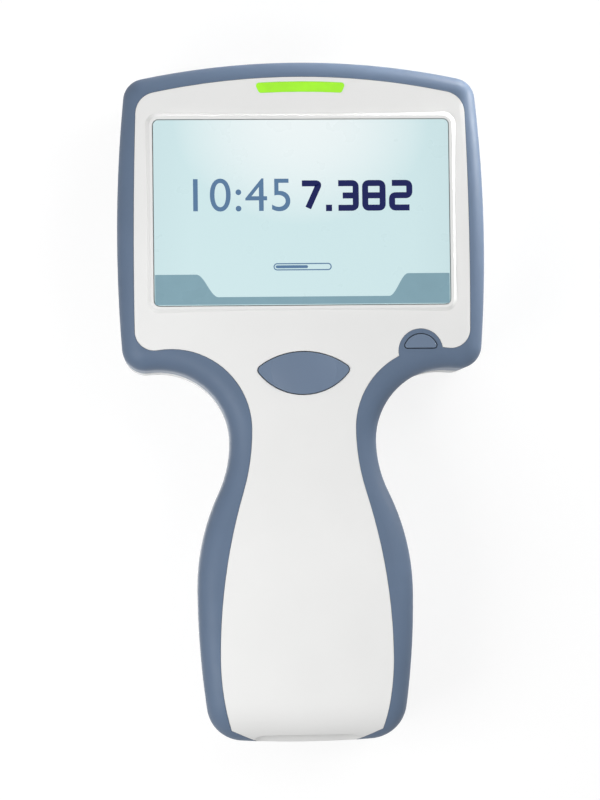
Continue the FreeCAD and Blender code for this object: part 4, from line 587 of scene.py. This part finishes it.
def rounded_line(points, corner):
    """The line through the points, with its corners rounded off."""
    result = [points[0]]
    for before, here, after in zip(points, points[1:], points[2:]):
        start = here + (before - here).normalized() * corner
        end = here + (after - here).normalized() * corner
        for step in range(FIGURE_CORNER_STEPS + 1):
            share = step / FIGURE_CORNER_STEPS
            result.append(start.lerp(here, share).lerp(here.lerp(end, share), share))
    return result + [points[-1]]


def add_stroke(work, line, width, z):
    """Flat stroke of even width along a line."""
    last = len(line) - 1
    pairs = []
    for i, point in enumerate(line):
        way = (line[min(i + 1, last)] - line[max(i - 1, 0)]).normalized()
        side = Vector((-way.y, way.x)) * (width / 2)
        pairs.append([work.verts.new((*(point + side * sign), z)) for sign in (1, -1)])
    for here, ahead in zip(pairs, pairs[1:]):
        work.faces.new((here[0], here[1], ahead[1], ahead[0]))


def make_reading(face, digits, material):
    """The reading on the screen, in wide bold figures with rounded corners."""
    width = face.width * READING_WIDTH_SHARE
    height = face.height * READING_HEIGHT_SHARE - READING_STROKE
    dots = digits.count(".")
    room = width - len(digits) * READING_STROKE - (len(digits) - 1) * READING_GAP
    wide = room / (len(digits) - dots)
    x = face.x(READING_MIDDLE_SHARE) - width / 2 + READING_STROKE / 2
    base = face.y(DIGIT_BASE_SHARE) + READING_STROKE / 2
    work = bmesh.new()
    for digit in digits:
        for shares in FIGURES[digit]:
            line = [Vector((x + across * wide, base + up * height)) for across, up in shares]
            add_stroke(work, rounded_line(line, FIGURE_CORNER), READING_STROKE, face.ink_z)
        x += READING_STROKE + READING_GAP + (0 if digit == "." else wide)
    mesh = bpy.data.meshes.new("reading_digits")
    work.to_mesh(mesh)
    work.free()
    thicken(mesh, INK_THICKNESS)
    new_piece("reading_digits", mesh, material)


def thicken(mesh, thickness):
    """Turns flat figures into thin plates."""
    work = bmesh.new()
    work.from_mesh(mesh)
    bmesh.ops.remove_doubles(work, verts=work.verts, dist=INK_GAP / 10)
    grown = bmesh.ops.extrude_face_region(work, geom=work.faces[:])
    lifted = [item for item in grown["geom"] if isinstance(item, bmesh.types.BMVert)]
    bmesh.ops.translate(work, verts=lifted, vec=(0, 0, thickness))
    bmesh.ops.recalc_face_normals(work, faces=work.faces)
    work.to_mesh(mesh)
    work.free()


def make_progress_bar(face, material):
    """Progress bar under the figures: a round-ended frame with its filled part."""
    centre = (face.x(PROGRESS_MIDDLE_SHARES[0]), face.y(PROGRESS_MIDDLE_SHARES[1]))
    outer = pill_outline(centre, PROGRESS_LENGTH, PROGRESS_HEIGHT)
    inner_height = PROGRESS_HEIGHT - 2 * PROGRESS_LINE
    inner = pill_outline(centre, PROGRESS_LENGTH - 2 * PROGRESS_LINE, inner_height)
    frame_mesh = plate_mesh("progress_frame", outer, face.ink_z, INK_THICKNESS, inner)
    new_piece("progress_frame", frame_mesh, material)
    room = PROGRESS_LENGTH - 4 * PROGRESS_LINE
    length = room * PROGRESS_DONE_SHARE
    start = centre[0] - room / 2
    bar = pill_outline((start + length / 2, centre[1]), length, PROGRESS_HEIGHT - 4 * PROGRESS_LINE)
    fill_mesh = plate_mesh("progress_fill", bar, face.ink_z, INK_THICKNESS)
    new_piece("progress_fill", fill_mesh, material)


def make_screen_picture():
    """The lit picture: a footer with two tabs, a clock, a reading and a progress bar."""
    face = Screen()
    slate = ink("ink_slate", linear(88, 122, 158))
    navy = ink("ink_navy", linear(0, 14, 84))
    make_footer(face, ink("ink_footer", linear(130, 164, 177)))
    make_clock(face, "10:45", slate)
    make_reading(face, "7.382", navy)
    make_progress_bar(face, slate)


def make_speaker_cloth():
    """Dust cloth that is stretched over the cone of the loudspeaker, behind the grille."""
    low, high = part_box("speaker")
    centre = (low + high) / 2
    base_z = low.z + CLOTH_THICKNESS
    work = bmesh.new()
    count = 4 * ROUND_STEPS
    middle = work.verts.new((centre.x, centre.y, base_z + CLOTH_CROWN))
    inner = None
    for ring in range(1, CLOTH_RINGS + 1):
        share = ring / CLOTH_RINGS
        z = base_z + CLOTH_CROWN * (1 - share**2)
        points = []
        for step in range(count):
            turn = 2 * math.pi * step / count
            x = centre.x + CLOTH_RADIUS * share * math.cos(turn)
            points.append(work.verts.new((x, centre.y + CLOTH_RADIUS * share * math.sin(turn), z)))
        for i in range(count):
            k = (i + 1) % count
            if inner is None:
                work.faces.new((middle, points[i], points[k]))
            else:
                work.faces.new((inner[i], points[i], points[k], inner[k]))
        inner = points
    grown = bmesh.ops.extrude_face_region(work, geom=work.faces[:])
    lifted = [item for item in grown["geom"] if isinstance(item, bmesh.types.BMVert)]
    bmesh.ops.translate(work, verts=lifted, vec=(0, 0, CLOTH_THICKNESS))
    bmesh.ops.recalc_face_normals(work, faces=work.faces)
    mesh = bpy.data.meshes.new("speaker_cloth")
    work.to_mesh(mesh)
    work.free()
    new_piece("speaker_cloth", mesh, woven("speaker_cloth", linear(34, 34, 36)))


def make_soft_pieces(finishes):
    """Rubber domes and springs as pieces of their own, copied from their nodes, which are hidden."""
    slots = {row["node"]: row["material_slot"] for row in frame["record"]["subparts"]}
    for node, joint in SOFT_NODES.items():
        source = frame["nodes"][node]
        mesh = source.data.copy()
        mesh.transform(source.matrix_world)
        piece = new_piece(node + "_soft", mesh, finishes[slots[node]])
        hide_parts(node)
        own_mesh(piece)


def make_camera():
    """Camera of the photograph: nearly square on to the screen, turned a little to one side."""
    pitch = Matrix.Rotation(math.radians(CAMERA_PITCH_DEG), 3, "X")
    yaw = Matrix.Rotation(math.radians(CAMERA_YAW_DEG), 3, "Y")
    roll = Matrix.Rotation(math.radians(CAMERA_ROLL_DEG), 3, "Z")
    turn = (roll @ yaw @ pitch).transposed()
    data = bpy.data.cameras.new("camera")
    data.sensor_width = SENSOR_WIDTH
    data.lens = PIXELS_PER_METRE * CAMERA_DISTANCE * SENSOR_WIDTH / max(PHOTO_WIDTH, PHOTO_HEIGHT)
    camera = bpy.data.objects.new("camera", data)
    bpy.context.scene.collection.objects.link(camera)
    place = CAMERA_TARGET + turn @ (Vector((0, 0, CAMERA_DISTANCE)) - FRAME_OFFSET)
    camera.matrix_world = Matrix.Translation(place) @ turn.to_4x4()
    bpy.context.scene.camera = camera


def make_world():
    """Even light from all round, stronger from above, in front of a white background."""
    world = bpy.data.worlds.new("studio")
    bpy.context.scene.world = world
    world.use_nodes = True
    nodes = world.node_tree.nodes
    links = world.node_tree.links
    nodes.clear()
    direction = nodes.new("ShaderNodeTexCoord").outputs["Generated"]
    slope = nodes.new("ShaderNodeVectorMath")
    slope.operation = "DOT_PRODUCT"
    slope.inputs[1].default_value = (0, 0, TOP_LIGHT)
    links.new(direction, slope.inputs[0])
    level = nodes.new("ShaderNodeMath")
    level.operation = "ADD"
    level.use_clamp = True
    level.inputs[1].default_value = SIDE_LIGHT
    links.new(slope.outputs["Value"], level.inputs[0])
    light = nodes.new("ShaderNodeBackground")
    light.inputs["Color"].default_value = (1, 1, 1, 1)
    links.new(level.outputs[0], light.inputs["Strength"])
    white = nodes.new("ShaderNodeBackground")
    white.inputs["Color"].default_value = (1, 1, 1, 1)
    path = nodes.new("ShaderNodeLightPath")
    seen = path.outputs["Is Camera Ray"]
    for name in ("Is Glossy Ray", "Is Transmission Ray"):
        either = nodes.new("ShaderNodeMath")
        either.operation = "MAXIMUM"
        links.new(seen, either.inputs[0])
        links.new(path.outputs[name], either.inputs[1])
        seen = either.outputs[0]
    mix = nodes.new("ShaderNodeMixShader")
    links.new(seen, mix.inputs[0])
    links.new(light.outputs[0], mix.inputs[1])
    links.new(white.outputs[0], mix.inputs[2])
    links.new(mix.outputs[0], nodes.new("ShaderNodeOutputWorld").inputs["Surface"])


def make_lamp(name, place, target, size, brightness, spread_deg):
    """Square soft lamp; brightness is about what it adds at the target, or more with a narrow spread."""
    data = bpy.data.lights.new(name, "AREA")
    data.shape = "SQUARE"
    data.size = size
    data.spread = math.radians(spread_deg)
    way = Vector(target) - Vector(place)
    data.energy = brightness * math.pi**2 * way.length_squared
    lamp = bpy.data.objects.new(name, data)
    bpy.context.scene.collection.objects.link(lamp)
    lamp.location = place
    lamp.rotation_mode = "QUATERNION"
    lamp.rotation_quaternion = way.to_track_quat("-Z", "Y")


def make_floor():
    """Pale floor that keeps the shadow, sends no light back and can't be seen from below."""
    half = FLOOR_SIZE / 2
    mesh = bpy.data.meshes.new("floor")
    work = bmesh.new()
    work.faces.new([work.verts.new((x * half, y * half, 0)) for x, y in ((-1, -1), (1, -1), (1, 1), (-1, 1))])
    work.to_mesh(mesh)
    work.free()
    floor = bpy.data.objects.new("floor", mesh)
    bpy.context.scene.collection.objects.link(floor)
    floor.visible_diffuse = False
    floor.visible_shadow = False
    material = bpy.data.materials.new("floor")
    material.use_nodes = True
    nodes = material.node_tree.nodes
    links = material.node_tree.links
    nodes.clear()
    matt = nodes.new("ShaderNodeBsdfDiffuse")
    matt.inputs["Color"].default_value = (FLOOR_ALBEDO, FLOOR_ALBEDO, FLOOR_ALBEDO, 1)
    glow = nodes.new("ShaderNodeEmission")
    glow.inputs["Strength"].default_value = FLOOR_GLOW
    both = nodes.new("ShaderNodeAddShader")
    links.new(matt.outputs[0], both.inputs[0])
    links.new(glow.outputs[0], both.inputs[1])
    side = nodes.new("ShaderNodeNewGeometry")
    mix = nodes.new("ShaderNodeMixShader")
    links.new(side.outputs["Backfacing"], mix.inputs[0])
    links.new(both.outputs[0], mix.inputs[1])
    links.new(nodes.new("ShaderNodeBsdfTransparent").outputs[0], mix.inputs[2])
    links.new(mix.outputs[0], nodes.new("ShaderNodeOutputMaterial").inputs["Surface"])
    mesh.materials.append(material)


bpy.context.scene.view_settings.view_transform = "Standard"
finishes = make_finishes()
dress_nodes(finishes)
make_screen_picture()
make_speaker_cloth()
make_soft_pieces(finishes)
make_camera()
make_world()
for lamp_name, lamp_values in LAMPS.items():
    make_lamp(lamp_name, *lamp_values)
make_floor()
